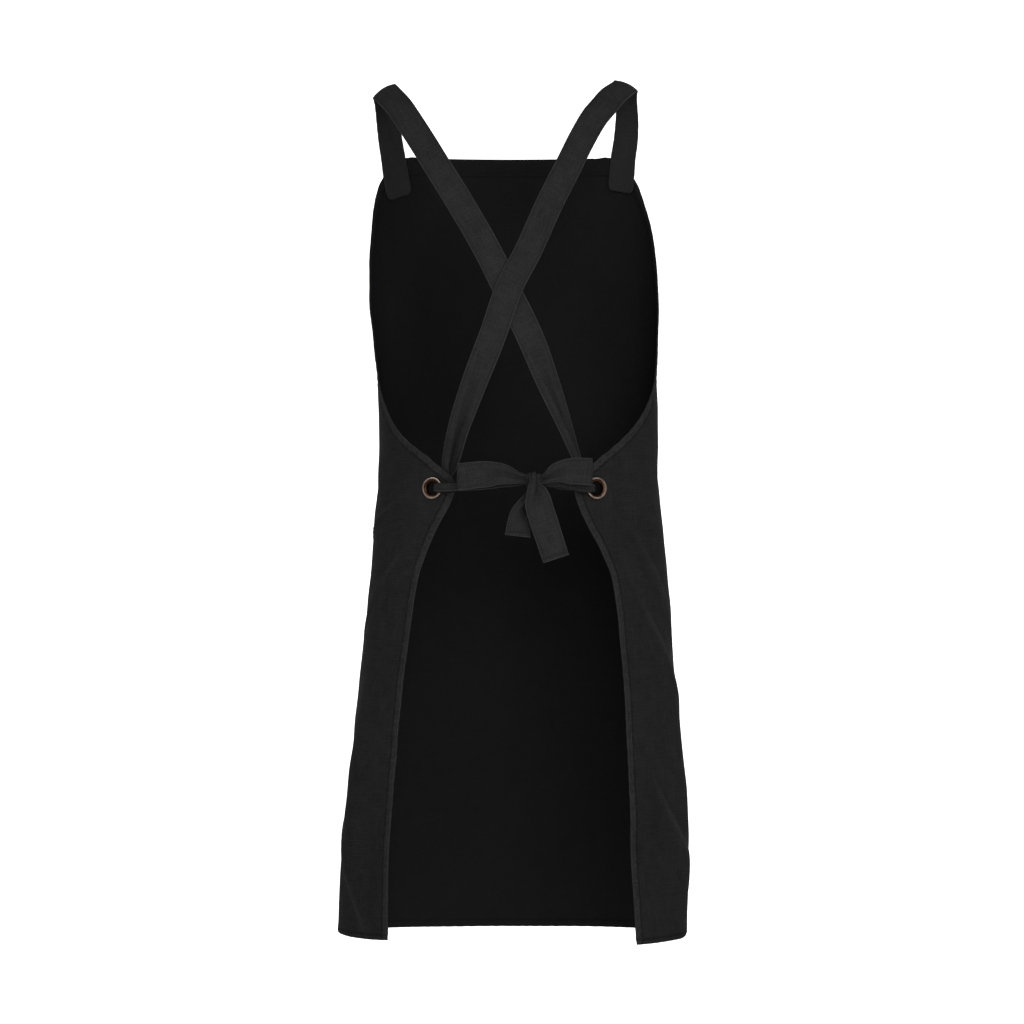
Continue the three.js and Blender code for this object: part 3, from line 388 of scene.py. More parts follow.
class Panel:
    """The one cut panel of cloth: bib, armholes, wings and skirt, hemmed all round."""

    def __init__(self) -> None:
        """Reads the tables as smooth columns and finds both eyelets."""
        drop = SECTIONS[:, 0]
        self.half = {side: Column(drop, SECTIONS[:, k]) for k, side in enumerate(Side, 1)}
        self.front = Column(drop, SECTIONS[:, 3])
        self.back = Column(drop, SECTIONS[:, 4])
        edge = CLOTH_EDGE[:, 0]
        self.edge = {side: Column(edge, CLOTH_EDGE[:, k]) for k, side in enumerate(Side, 1)}
        self.dip = Column(HEM_DIP[:, 0], HEM_DIP[:, 1])
        self.eyelets = {side: Eyelet(side, self) for side in Side}

    def point(self, angle: Array, drop: Array, lift: Amount = 0.0) -> Array:
        """A point of the outer face: an ellipse of that height's size, raised along the folds.

        Args:
            angle: Degrees round the body, 0 at the middle of the front, positive to the left.
            drop: Share of the panel's length below the bib's top edge.
            lift: Further rise of the surface in millimetres.

        Returns:
            Points in millimetres.
        """
        angle, drop = np.broadcast_arrays(np.asarray(angle, float), np.asarray(drop, float))
        level = np.clip(drop, 0, 1)
        turn = np.radians(angle)
        half = CUT.half_width * np.where(
            angle >= 0, self.half[Side.LEFT](level), self.half[Side.RIGHT](level))
        depth = CUT.half_depth * np.where(np.cos(turn) > 0, self.front(level), self.back(level))
        rise = self.fold_rise(angle, drop) + lift
        dip = CUT.bottom_hem * self.dip(angle) * smooth_step((drop - 0.6) / 0.4)
        return np.stack([
            (half + rise) * np.sin(turn),
            -(depth + rise) * np.cos(turn),
            -CUT.bib_drop - CUT.length * drop - dip,
        ], -1)

    def fold_rise(self, angle: Array, drop: Array) -> Array:
        """The height of all folds and creases there, in mm."""
        return sum(fold[5] * CUT.half_depth * self.bell(angle, drop, fold, 1.0)
                   for fold in (*FOLDS, *CREASES))

    def bell(self, angle: Array, drop: Array, fold: Array, narrow: float) -> Array:
        """A fold's share from 0 to 1: a bell across it, faded along it by a squared sine.

        Args:
            angle: Degrees round the body.
            drop: Share of the panel's length.
            fold: Its row of the table.
            narrow: How much of its width the bell takes.

        Returns:
            The shares.
        """
        top, bottom, start, end, width, _ = fold
        along = np.clip((drop - top) / (bottom - top), 0, 1)
        centre = start + (end - start) * along
        across = np.radians(angle - centre) / (width * narrow)
        return np.sin(np.pi * along) ** 2 * np.exp(-across ** 2)

    def normal(self, angle: Array, drop: Array) -> Array:
        """The outward direction, from the cross product of the steps down and round.

        Args:
            angle: Degrees round the body.
            drop: Share of the panel's length.

        Returns:
            Directions of length 1.
        """
        around = self.point(angle + 1.5, drop) - self.point(angle - 1.5, drop)
        down = self.point(angle, drop + 0.004) - self.point(angle, drop - 0.004)
        return unit(np.cross(down, around))

    def flattened(self, points: Array) -> Array:
        """The points with those round an eyelet laid into its plane.

        Args:
            points: The cloth's points in millimetres.

        Returns:
            New points.
        """
        points = points.copy()
        for eyelet in self.eyelets.values():
            offset = points - eyelet.centre
            height = offset @ eyelet.normal
            away = np.linalg.norm(offset - height[..., None] * eyelet.normal, axis=-1)
            share = 1 - smooth_step((away - 0.62 * eyelet.outer) / (0.5 * eyelet.outer))
            share = np.where(np.abs(height) < eyelet.outer, share, 0)
            points -= (height * share)[..., None] * eyelet.normal
        return points

    def rows(self) -> Array:
        """Millimetres below the top edge of each row, closer at the hems and the back corners."""
        top = [0, 0.8, 2, 4, 7, 10, 13, 15.5, 17, 18, 19, 20.5]
        bib = np.linspace(24, 308, 72)
        corner = np.linspace(311, 398, 41)
        skirt = np.linspace(402, 832, 102)
        hem = CUT.length - np.array([10, 8.4, 7.4, 6.6, 5, 3, 1.6, 0.7, 0])
        return np.concatenate([top, bib, corner, skirt, hem])

    def grid(self) -> Grid:
        """Builds the cloth's shell.

        Along each row the first and last columns keep set distances from the cloth's edges, and
        the others are spread evenly. The surface gets small waves and puckers along the hems'
        stitches.

        Returns:
            The shell with its marks: side, run, top and bottom in millimetres, and ridge.
        """
        down = self.rows()
        drop = down / CUT.length
        margin = np.array([0, 0.7, 1.7, 3.2, 5, 7, 8.6, 9.6, 10.6, 12.5])
        step = 0.004
        bounds, runs = {}, {}
        for side in Side:
            radius = CUT.half_width * self.half[side](drop)
            low, high = np.clip(drop - step, 0, 1), np.clip(drop + step, 0, 1)
            turned = np.radians(self.edge[side](high) - self.edge[side](low)) * radius
            slope = turned / ((high - low) * CUT.length)
            stretch = np.minimum(np.sqrt(1 + slope ** 2), 1.9)
            inset = np.degrees(margin[None] * (stretch / radius)[:, None])
            bounds[side] = side.value * (self.edge[side](drop)[:, None] - inset)
            line = self.point(side.value * self.edge[side](drop), drop)
            length = np.linalg.norm(np.diff(line, axis=0), axis=1)
            runs[side] = np.concatenate([[0], np.cumsum(length)])
        share = np.linspace(0, 1, 182)[1:-1]
        start, end = bounds[Side.RIGHT][:, -1:], bounds[Side.LEFT][:, -1:]
        angle = np.concatenate([
            bounds[Side.RIGHT], start + (end - start) * share, bounds[Side.LEFT][:, ::-1]], 1)
        drops = np.broadcast_to(drop[:, None], angle.shape)
        plain = self.point(angle, drops)
        stride = np.linalg.norm(np.diff(plain, axis=1), axis=2)
        across = np.concatenate([np.zeros((len(down), 1)), np.cumsum(stride, 1)], 1)
        from_right, from_left = across, across[:, -1:] - across
        side = np.minimum(from_right, from_left)
        count = len(margin)
        side[:, :count] = margin
        side[:, -count:] = margin[::-1]
        side[:, count:-count] = np.maximum(side[:, count:-count], margin[-1] + 0.5)
        run = np.where(from_right < from_left, runs[Side.RIGHT][:, None], runs[Side.LEFT][:, None])
        middle = across - across[:, -1:] / 2
        top = np.broadcast_to(down[:, None], angle.shape)
        bottom = CUT.length - top
        lift = self.waves(middle, top) + self.puckers(side, run, top, bottom, middle)
        outer = self.flattened(self.point(angle, drops, lift))
        inward = -unit(np.cross(np.gradient(outer, axis=0), np.gradient(outer, axis=1)))
        inward *= np.where((inward * self.normal(angle, drops)).sum(-1, keepdims=True) > 0, -1, 1)
        doubled = np.maximum.reduce([
            1 - smooth_step((side - CUT.side_hem + 0.4) / 1.2),
            1 - smooth_step((top - CUT.top_hem + 0.4) / 1.2),
            1 - smooth_step((bottom - CUT.bottom_hem + 0.4) / 1.2),
        ])
        keep = np.ones((len(down) - 1, angle.shape[1] - 1), bool)
        centre = (outer[:-1, :-1] + outer[1:, 1:]) / 2
        for eyelet in self.eyelets.values():
            away = np.linalg.norm(outer - eyelet.centre, axis=-1)
            doubled = np.maximum(doubled, 1 - smooth_step((away / eyelet.outer - 0.72) / 0.22))
            keep &= np.linalg.norm(centre - eyelet.centre, axis=-1) > eyelet.barrel + 0.6
        rim = smooth_step(np.minimum.reduce([side, top, bottom]) / 1.6)
        wall = (CUT.canvas + (CUT.hem - CUT.canvas) * doubled) * (0.45 + 0.55 * rim)
        tuck = (CUT.hem * 0.5 * (1 - rim))[..., None]
        outer = outer + inward * tuck * 0.5
        inner = outer + inward * wall[..., None]
        uv = np.stack([middle, -top], -1) * MM
        # ridge marks the sharp creases' ridges, which the finish paints lighter as a highlight.
        ridge = sum(self.bell(angle, drops, fold, 0.42) for fold in CREASES)
        marks = {"side": side, "run": run, "top": top, "bottom": bottom, "ridge": ridge}
        return Grid(outer, inner, uv, marks, keep)

    def waves(self, across: Array, down: Array) -> Array:
        """Small slack in the cloth: five long sine waves in different directions, in mm.

        Args:
            across: Millimetres from the middle of the row.
            down: Millimetres below the top edge.

        Returns:
            Heights in millimetres.
        """
        total = np.zeros(across.shape)
        for size, long, lean, phase in (
            (0.40, 118, 0.30, 0.4), (0.30, 83, -0.55, 2.1), (0.20, 61, 1.10, 4.0),
            (0.14, 47, -1.60, 5.3), (0.10, 36, 0.05, 1.2),
        ):
            turn = np.cos(lean) * across + np.sin(lean) * down
            drift = 9 * np.sin(down / 97 + phase) + 7 * np.sin(across / 71 - phase)
            total += size * np.sin(2 * np.pi * (turn + drift) / long + phase)
        return total * smooth_step(down / 60)

    def puckers(self, side: Array, run: Array, top: Array, bottom: Array, across: Array) -> Array:
        """Puckers along the hems: slanted ripples that fade away from each row of stitches.

        Args:
            side: Millimetres from the nearer side edge.
            run: Millimetres along that edge.
            top: Millimetres from the top edge.
            bottom: Millimetres from the bottom edge.
            across: Millimetres from the middle of the row.

        Returns:
            Heights in millimetres.
        """
        return (self.roped(side, run, CUT.side_hem, 0.45, 15)
                + self.roped(top, across, CUT.top_hem, 0.07, 21)
                + self.roped(bottom, across, CUT.bottom_hem, 0.42, 13))

    def roped(self, distance: Array, along: Array, hem: float, size: float,
              long: float) -> Array:
        """One hem's ripples, size mm high and long mm apart, as a sine under a bell.

        Args:
            distance: Millimetres from the edge.
            along: Millimetres along the edge.
            hem: The hem's width.
            size: The ripples' height.
            long: Their spacing.

        Returns:
            Heights in millimetres.
        """
        near = np.exp(-((distance - hem * 0.7) / (hem * 0.9)) ** 2)
        drift = 4 * np.sin(along / 43) + 3 * np.sin(along / 19 + 1)
        loose = 0.6 + 0.4 * np.sin(along / 61 + 2)
        turn = 2 * np.pi * (along + 0.9 * distance + drift) / long
        return size * near * loose * np.sin(turn)


class Eyelet:
    """A two-part metal eyelet set in a back corner: a rolled flange, a barrel and a washer."""

    outer = 25.0
    hole = 14.0
    metal = 0.8

    def __init__(self, side: Side, panel: Panel) -> None:
        """Finds its centre on the cloth and its own directions there.

        Args:
            side: The back corner that it sits in.
            panel: The cloth.
        """
        self.side = side
        drop = CUT.corner_drop + CUT.eyelet_below_corner / CUT.length
        inset = np.degrees(CUT.eyelet_inset / (CUT.half_width * panel.half[side](drop)))
        angle = side.value * (panel.edge[side](CUT.corner_drop) - inset)
        self.centre = panel.point(angle, drop)
        self.normal = panel.normal(angle, drop)
        self.up = np.array([0.0, 0.0, 1.0])
        self.inward = unit(np.cross(self.up, self.normal)) * side.value
        self.barrel = self.hole / 2 + self.metal

    def direction(self, inward: Array, up: Array, out: Array) -> Array:
        """Directions in the eyelet's own frame, as vectors of the apron's frame."""
        return (np.multiply.outer(inward, self.inward) + np.multiply.outer(up, self.up)
                + np.multiply.outer(out, self.normal))

    def build(self) -> bpy.types.Object:
        """Turns the eyelet's section round its axis, with a rounded crest and soft dents.

        Returns:
            The metal piece.
        """
        bore, rim, metal = self.hole / 2, self.outer / 2, self.metal
        inside = -CUT.hem - CUT.clearance
        crest = rim - 1.9
        turn = np.linspace(0, np.pi, 15)
        roll_radius = crest + (rim - crest) * np.cos(turn) * np.where(turn < np.pi / 2, 1, 0)
        roll_radius += (crest - bore) * np.cos(turn) * np.where(turn < np.pi / 2, 0, 1)
        roll_height = 0.35 + metal * 2.3 * np.sin(turn) ** 0.8
        section = np.array(
            [(bore, inside - metal), (rim - 1.1, inside - metal),
             (rim - 0.8, inside - 0.6 * metal), (rim - 0.9, inside),
             (self.barrel, inside), (self.barrel, 0.32), (rim - 0.2, 0.32)]
            + list(zip(roll_radius, roll_height)) + [(bore - 0.05, 0.0)])
        around = np.linspace(0, 2 * np.pi, 73)[:-1]
        radius = section[:, 0][:, None] * np.ones_like(around)
        height = section[:, 1][:, None] * np.ones_like(around)
        dent = 0.10 * np.sin(3 * around + 0.6) + 0.06 * np.sin(7 * around + 2.0)
        height = height + np.where(height > 1.0, dent, 0)
        turned = self.direction(radius * np.cos(around), np.zeros_like(radius), height)
        points = self.centre + turned + (radius * np.sin(around))[..., None] * np.cross(
            self.normal, self.inward)
        count, turns = radius.shape
        place = np.arange(count * turns).reshape(count, turns)
        ahead = np.roll(place, -1, axis=1)
        below, below_ahead = np.roll(place, -1, axis=0), np.roll(ahead, -1, axis=0)
        quads = np.stack([place, ahead, below_ahead, below], -1).reshape(-1, 4)
        flat = points.reshape(-1, 3)
        # The crest mark tells the finish where to paint the copper's highlight.
        crest_highlight = np.exp(-((radius - crest) / 0.95) ** 2) * (height > 1.0)
        return piece_of(f"eyelet_{self.side.label}_metal", flat,
                        outwards(flat, quads, self.centre), {"crest": crest_highlight})


@dataclass
class Station:
    """Points that a strap passes, with its face, fold, width, press and cup at each."""

    at: Array
    face: Array
    fold: Array
    width: Array
    press: Array
    cup: Array

    @staticmethod
    def of(at: Array, face: Array, fold: Amount = 0.0,
           width: Amount = 1.0, press: Amount = 1.0,
           cup: Amount = 0.0) -> "Station":
        """Stations with single numbers spread over all the points.

        Args:
            at: The points in millimetres.
            face: The direction that the face looks in.
            fold: 0 for flat to 1 for folded in three.
            width: Share of the full width.
            press: Share of the full thickness.
            cup: Bow of the section in millimetres.

        Returns:
            The stations.
        """
        many = np.ones(len(at))
        return Station(np.asarray(at, float), np.asarray(face, float) * many[:, None],
                       fold * many, width * many, press * many, cup * many)

    def then(self, other: "Station") -> "Station":
        """These stations followed by others."""
        return Station(*(np.concatenate([getattr(self, key), getattr(other, key)])
                         for key in ("at", "face", "fold", "width", "press", "cup")))


class Tape:
    """A flat canvas strap along a smooth way, which can lie flat or folded in three."""

    leg_points = 8
    fold_line = 9.2

    def __init__(self, stations: Station, pace: float, front: float = -99.0,
                 gather: tuple[float, float] = (0.0, 0.0)) -> None:
        """Keeps the stations and the sizes.

        Args:
            stations: What the strap passes.
            pace: The length of a step along it.
            front: How much of its length lies in front of the shoulder.
            gather: Height of the pleats that the knot squeezes into its start and its end.
        """
        self.stations = stations
        self.pace = pace
        self.front = front
        self.gather = gather

    def path(self) -> tuple[Array, Array, Array]:
        """A centripetal Catmull-Rom curve through the stations.

        Returns:
            The points, the directions, and the share of the stations' own length at each.
        """
        at = self.stations.at
        p = np.concatenate([[2 * at[0] - at[1]], at, [2 * at[-1] - at[-2]]])
        d = np.sqrt(np.linalg.norm(np.diff(p, axis=0), axis=1))[:, None]
        p0, p1, p2, p3 = p[:-3], p[1:-2], p[2:-1], p[3:]
        d0, d1, d2 = d[:-2], d[1:-1], d[2:]
        leave = ((p1 - p0) / d0 - (p2 - p0) / (d0 + d1) + (p2 - p1) / d1) * d1
        reach = ((p2 - p1) / d1 - (p3 - p1) / (d1 + d2) + (p3 - p2) / d2) * d1
        chord = np.linalg.norm(p2 - p1, axis=1)
        count = np.maximum(np.round(chord / self.pace).astype(int), 2)
        i = np.append(np.repeat(np.arange(len(count)), count), len(count) - 1)
        first = np.repeat(np.concatenate([[0], np.cumsum(count)[:-1]]), count)
        t = np.append((np.arange(count.sum()) - first) / np.repeat(count, count), 1.0)[:, None]
        points = ((2 * t ** 3 - 3 * t ** 2 + 1) * p1[i] + (t ** 3 - 2 * t ** 2 + t) * leave[i]
                  + (3 * t ** 2 - 2 * t ** 3) * p2[i] + (t ** 3 - t ** 2) * reach[i])
        heading = ((6 * t ** 2 - 6 * t) * (p1[i] - p2[i]) + (3 * t ** 2 - 4 * t + 1) * leave[i]
                   + (3 * t ** 2 - 2 * t) * reach[i])
        length = np.concatenate([[0], np.cumsum(chord)])
        share = (length[i] + chord[i] * t[:, 0]) / length[-1]
        return points, unit(heading), share

    def section(self, fold: Array) -> tuple[Array, Array, Array, Array]:
        """The strap's middle line across its width: three legs and two bends, like a Z.

        Args:
            fold: 0 for flat to 1 for folded in three, per step.

        Returns:
            The places across and above the face and the square direction's two parts, each of
            the shape (steps, points).
        """
        arc = np.pi * 0.72 * CUT.strap_thickness
        leg = (CUT.strap_width - 2 * arc) / 3
        legs, bends = self.leg_points, 5
        lengths = np.concatenate([np.full(legs, leg / legs), np.full(bends, arc / bends)] * 2
                                 + [np.full(legs, leg / legs)])
        kinks = np.concatenate([np.zeros(legs), np.ones(bends), np.zeros(legs), -np.ones(bends),
                                np.zeros(legs)])
        turn = np.pi * fold[:, None] * kinks / bends
        heading = np.cumsum(turn, 1) - turn / 2
        zero = np.zeros((len(fold), 1))
        x = np.concatenate([zero, np.cumsum(lengths * np.cos(heading), 1)], 1)
        y = np.concatenate([zero, np.cumsum(lengths * np.sin(heading), 1)], 1)
        x -= (x.min(1, keepdims=True) + x.max(1, keepdims=True)) / 2
        y -= (y.min(1, keepdims=True) + y.max(1, keepdims=True)) / 2
        before = np.concatenate([heading[:, :1], heading], 1)
        after = np.concatenate([heading, heading[:, -1:]], 1)
        square = (before + after) / 2 + np.pi / 2
        return x, y, np.cos(square), np.sin(square)

    def grid(self) -> Grid:
        """Carries the section along the path, its face kept square to the way.

        Returns:
            The strap's shell. Its marks across, run, left and crease are millimetres across it,
            along it, to its end and to the nearer fold line, and fold and front are shares.
        """
        centre, tangent, share = self.path()
        s = self.stations
        chord = np.linalg.norm(np.diff(s.at, axis=0), axis=1)
        rows = np.concatenate([[0], np.cumsum(chord)]) / chord.sum()
        face = np.stack([Column(rows, s.face[:, k])(share) for k in range(3)], 1)
        face = unit(face - (face * tangent).sum(1, keepdims=True) * tangent)
        sideways = unit(np.cross(tangent, face))
        fold, width, press, cup = (
            Column(rows, v)(share) for v in (s.fold, s.width, s.press, s.cup))
        x, y, nx, ny = self.section(fold)
        length = np.concatenate([[0], np.cumsum(np.linalg.norm(np.diff(centre, axis=0), axis=1))])
        flat = np.linspace(0, CUT.strap_width, x.shape[1])
        edge = np.minimum(flat, CUT.strap_width - flat)
        wall = CUT.strap_thickness / 2 * (0.62 + 0.38 * smooth_step(edge / 1.6))
        slack = (1 - fold[:, None]) * self.slack(flat[None], length[:, None])
        slack = slack + self.pleats(flat[None], length[:, None])
        bowed = cup[:, None] * (4 / CUT.strap_width ** 2) * x * x + slack

        def place(sign: int) -> Array:
            """The tape's upper face for 1 and its under face for -1."""
            over = (x + sign * wall * nx) * width[:, None]
            up = (y + sign * wall * ny) * press[:, None] + bowed
            return (centre[:, None] + over[..., None] * sideways[:, None]
                    + up[..., None] * face[:, None])

        across = np.broadcast_to(flat, x.shape)
        run = np.broadcast_to(length[:, None], x.shape)
        bend = np.minimum(abs(across - self.fold_line),
                          abs(across - CUT.strap_width + self.fold_line))
        marks = {"across": across, "run": run, "left": length[-1] - run, "crease": bend,
                 "fold": fold[:, None] + 0 * run,
                 "front": smooth_step((self.front - run) / 14 + 0.5)}
        return Grid(place(1), place(-1), np.stack([across, run], -1) * MM, marks)

    def pleats(self, across: Array, along: Array) -> Array:
        """Pleats that run out of the knot and die away along the strap, in mm.

        Args:
            across: Millimetres across the cloth.
            along: Millimetres along it.

        Returns:
            Heights in millimetres.
        """
        total = np.zeros(np.broadcast(across, along).shape)
        for size, away in zip(self.gather, (along, along[-1] - along)):
            spread = 7.5 + away * 0.10
            ripple = np.sin(2 * np.pi * across / spread + 0.9)
            total = total + size * np.exp(-(away / 17) ** 2) * ripple
        return total

    def slack(self, across: Array, along: Array) -> Array:
        """Slight waves of a strap that isn't taut: long ones, and small puckers at its edges.

        Args:
            across: Millimetres across the cloth.
            along: Millimetres along it.

        Returns:
            Heights in millimetres.
        """
        edge = np.abs(across / CUT.strap_width - 0.5) * 2
        long = 0.22 * np.sin(along / 21 + 0.7) * np.sin(across / 9 + along / 67)
        turn = 2 * np.pi * along / 11 + 3 * np.sin(along / 37) + across
        pucker = 0.13 * edge ** 3 * np.sin(turn)
        return long + pucker


class Straps:
    """Both cross straps and the bow that their ends are tied in."""

    knot_size = np.array([18.0, 18.0, 16.0])

    def __init__(self, panel: Panel) -> None:
        """Finds the knot between the eyelets."""
        self.panel = panel
        left, right = panel.eyelets[Side.LEFT].centre, panel.eyelets[Side.RIGHT].centre
        self.knot = left + (right - left) * 0.616 + np.array([0, 0.2 * CUT.half_depth, 8.0])

    def strap(self, side: Side) -> Tape:
        """A whole strap, from its sewn end over the shoulder and through the far eyelet.

        Args:
            side: The shoulder that it lies on.

        Returns:
            The strap's tape.
        """
        sign, eyelet = side.value, self.panel.eyelets[side.other]
        tab_length, foot, head, bow = SEWN_ENDS[side]
        lean = head + (foot - head) * TAB_ROUTE[:, 0]
        angle = sign * lean * self.panel.edge[side](CUT.sewn_end_drop)
        sag = CUT.strap_width ** 2 / 8 / (0.72 * CUT.half_width)
        drop = TAB_ROUTE[:, 0] * tab_length / CUT.length
        normal = self.panel.normal(angle, np.maximum(drop, 0.01))
        depth = CUT.hem + 2 * CUT.clearance + CUT.strap_thickness / 2 + sag / 2
        tab = Station.of(self.panel.point(angle, drop) - depth * normal, normal,
                         width=TAB_ROUTE[:, 1], cup=-sag)
        across, out, down, *face = BACK_ROUTE[side].T
        face = np.stack([sign * face[0], face[1], face[2]], 1)
        back = Station.of(np.stack([
            sign * across * CUT.shoulder_half, out * CUT.half_depth,
            CUT.strap_thickness + down * eyelet.centre[2]], 1), face,
            fold=0.62 * smooth_step((down - 0.56) / 0.44),
            cup=-3.0 * smooth_step((0.12 - down) / 0.10))
        rise, outward, over = FRONT_ROUTE.T
        start, crest = tab.at[-1], back.at[0]
        way = start + (crest - start) * np.stack([outward, over, rise], 1)
        way[:, 0] += sign * bow * np.sin(np.pi * rise)
        front = Station.of(way, tab.face[-1] + (face[0] - tab.face[-1]) * (rise ** 2)[:, None],
                           width=1.06 - 0.06 * rise, cup=-3.0 * rise ** 4)
        inward, up, outward, face_in, face_out, fold, width, press = EYELET_ROUTE.T
        through = Station.of(
            eyelet.centre + eyelet.direction(inward, up, outward) * eyelet.hole,
            eyelet.direction(face_in, 0 * face_in, face_out), fold=fold, width=width,
            press=press)
        leave = through.at[-1]
        into = self.knot + np.array([side.other.value * 7.2, -5.22, -0.96])
        along, rear, fold = TIE_ROUTE.T
        way = leave + (into - leave) * along[:, None]
        way[:, 1] += rear * CUT.half_depth
        tie = Station.of(way, np.tile([0.0, -1.0, 0.0], (len(way), 1)), fold=fold)
        before = np.linalg.norm(np.diff(tab.then(front).at, axis=0), axis=1).sum()
        return Tape(tab.then(front).then(back).then(through).then(tie), 2.6, before + 8.0)

    def loop(self, side: Side, length: float, lift: float) -> Tape:
        """A loop of the bow: out along its rear layer, round its end and back in front.

        Args:
            side: The side that it lies on.
            length: From the knot to the loop's end.
            lift: The slope that it rises at.

        Returns:
            The loop's tape.
        """
        out, rise, gap, fold, width = LOOP_ROUTE.T
        step = (np.arange(len(out)) - 3) / (len(out) - 7)
        turn = np.pi * smooth_step(step)
        at = self.knot + np.stack([
            side.value * (CUT.knot / 2 + out * length), 1.8 + gap * CUT.loop_gap,
            rise * CUT.strap_width + lift * length * out], 1)
        face = np.stack([side.value * np.sin(turn), -np.cos(turn), 0 * turn], 1)
        return Tape(Station.of(at, face, fold, width), 1.0, gather=(0.6, 1.0))

    def tail(self, table: Array, length: float) -> Tape:
        """A free end of the tie, hanging down from the knot.

        Args:
            table: Its route, as the tables of tails give it.
            length: From the knot to its end.

        Returns:
            The end's tape.
        """
        down, across, rear, fold, width = table.T
        at = self.knot + np.stack([
            -across * CUT.strap_width, rear * CUT.knot, -8.0 - down * length], 1)
        face = np.tile([0.0, 1.0, 0.0], (len(at), 1))
        return Tape(Station.of(at, face, fold, width), 1.0, gather=(0.8, 0.0))

    def knot_piece(self) -> bpy.types.Object:
        """The knot: a squared ball whose surface is grooved where the wrap's layers lie.

        Returns:
            The knot's piece.
        """
        down = np.linspace(0, np.pi, 49)[:, None]
        around = np.linspace(0, 2 * np.pi, 97)[:-1][None]
        ball = np.stack([np.sin(down) * np.cos(around), np.sin(down) * np.sin(around),
                         np.cos(down) * np.ones_like(around)], -1)
        x, y, z = np.moveaxis(ball, -1, 0)
        soft = np.sign(ball) * np.abs(ball) ** 0.55
        layer = np.sin(2.6 * np.pi * (x + 0.34 * z) + 0.5)
        groove = 0.055 * np.exp(-(layer / 0.22) ** 2) + 0.03 * np.sin(4 * z + 2 * x + 1)
        soft[..., 1] *= 1 - np.clip(groove, 0, 1) * (np.abs(y) > 0.1)
        soft[..., 2] *= 0.97 - 0.05 * np.cos(5 * x)
        points = self.knot + soft * self.knot_size / 2
        uv = np.stack([x * 9 + 14, z * 12 + 6], -1) * MM
        count, turns = x.shape
        place = np.arange(count * turns).reshape(count, turns)
        ahead = np.roll(place, -1, axis=1)
        quads = np.stack([place[:-1], place[1:], ahead[1:], ahead[:-1]], -1).reshape(-1, 4)
        marks = {"across": 4 + 21 * (x + 1) / 2, "run": z * 12 + 100, "left": 100 + 0 * x,
                 "inside": 0 * x, "crease": 99 + 0 * x, "fold": 0 * x, "front": 0 * x}
        piece = piece_of("bow_knot_wrap", points.reshape(-1, 3), quads, marks, uv.reshape(-1, 2))
        weld(piece.data)
        return piece


def weld(data: bpy.types.Mesh) -> None:
    """Merges doubled points, as at a ball's poles, and turns the faces outwards.

    Args:
        data: The mesh, which is changed.
    """
    work = bmesh.new()
    work.from_mesh(data)
    bmesh.ops.remove_doubles(work, verts=work.verts, dist=1e-7)
    bmesh.ops.recalc_face_normals(work, faces=work.faces)
    work.to_mesh(data)
    work.free()


class Number:
    """A shader value that can be used in plain Python sums, which add Math nodes."""

    def __init__(self, nodes: "Nodes", socket: bpy.types.NodeSocket) -> None:
        """Wraps one output socket."""
        self.nodes = nodes
        self.socket = socket

    def math(self, operation: str, *others: Value) -> "Number":
        """One Math node on this value and others."""
        values = {i: v for i, v in enumerate((self, *others))}
        return self.nodes.add("ShaderNodeMath", {"operation": operation}, values)

    def __add__(self, other: Value) -> "Number":
        """self + other."""
        return self.math("ADD", other)

    def __sub__(self, other: Value) -> "Number":
        """self - other."""
        return self.math("SUBTRACT", other)

    def __rsub__(self, other: float) -> "Number":
        """other - self."""
        return self.math("MULTIPLY_ADD", -1.0, other)

    def __mul__(self, other: Value) -> "Number":
        """self * other."""
        return self.math("MULTIPLY", other)

    def __truediv__(self, other: Value) -> "Number":
        """self / other."""
        return self.math("DIVIDE", other)

    def __abs__(self) -> "Number":
        """The size of self without its sign."""
        return self.math("ABSOLUTE")

    __radd__ = __add__
    __rmul__ = __mul__

    def sine(self) -> "Number":
        """The sine of self, in radians."""
        return self.math("SINE")

    def fraction(self) -> "Number":
        """What is left of self above the whole number below it."""
        return self.math("FRACT")

    def limited(self) -> "Number":
        """self kept between 0 and 1."""
        return self.math("MAXIMUM", 0.0).math("MINIMUM", 1.0)

    def largest(self, *others: Value) -> "Number":
        """The largest of self and the others."""
        result = self
        for other in others:
            result = result.math("MAXIMUM", other)
        return result

    def band(self, centre: float, half: float, soft: float) -> "Number":
        """1 within half of centre, falling to 0 over soft."""
        return ((half + soft - abs(self - centre)) / soft).limited()


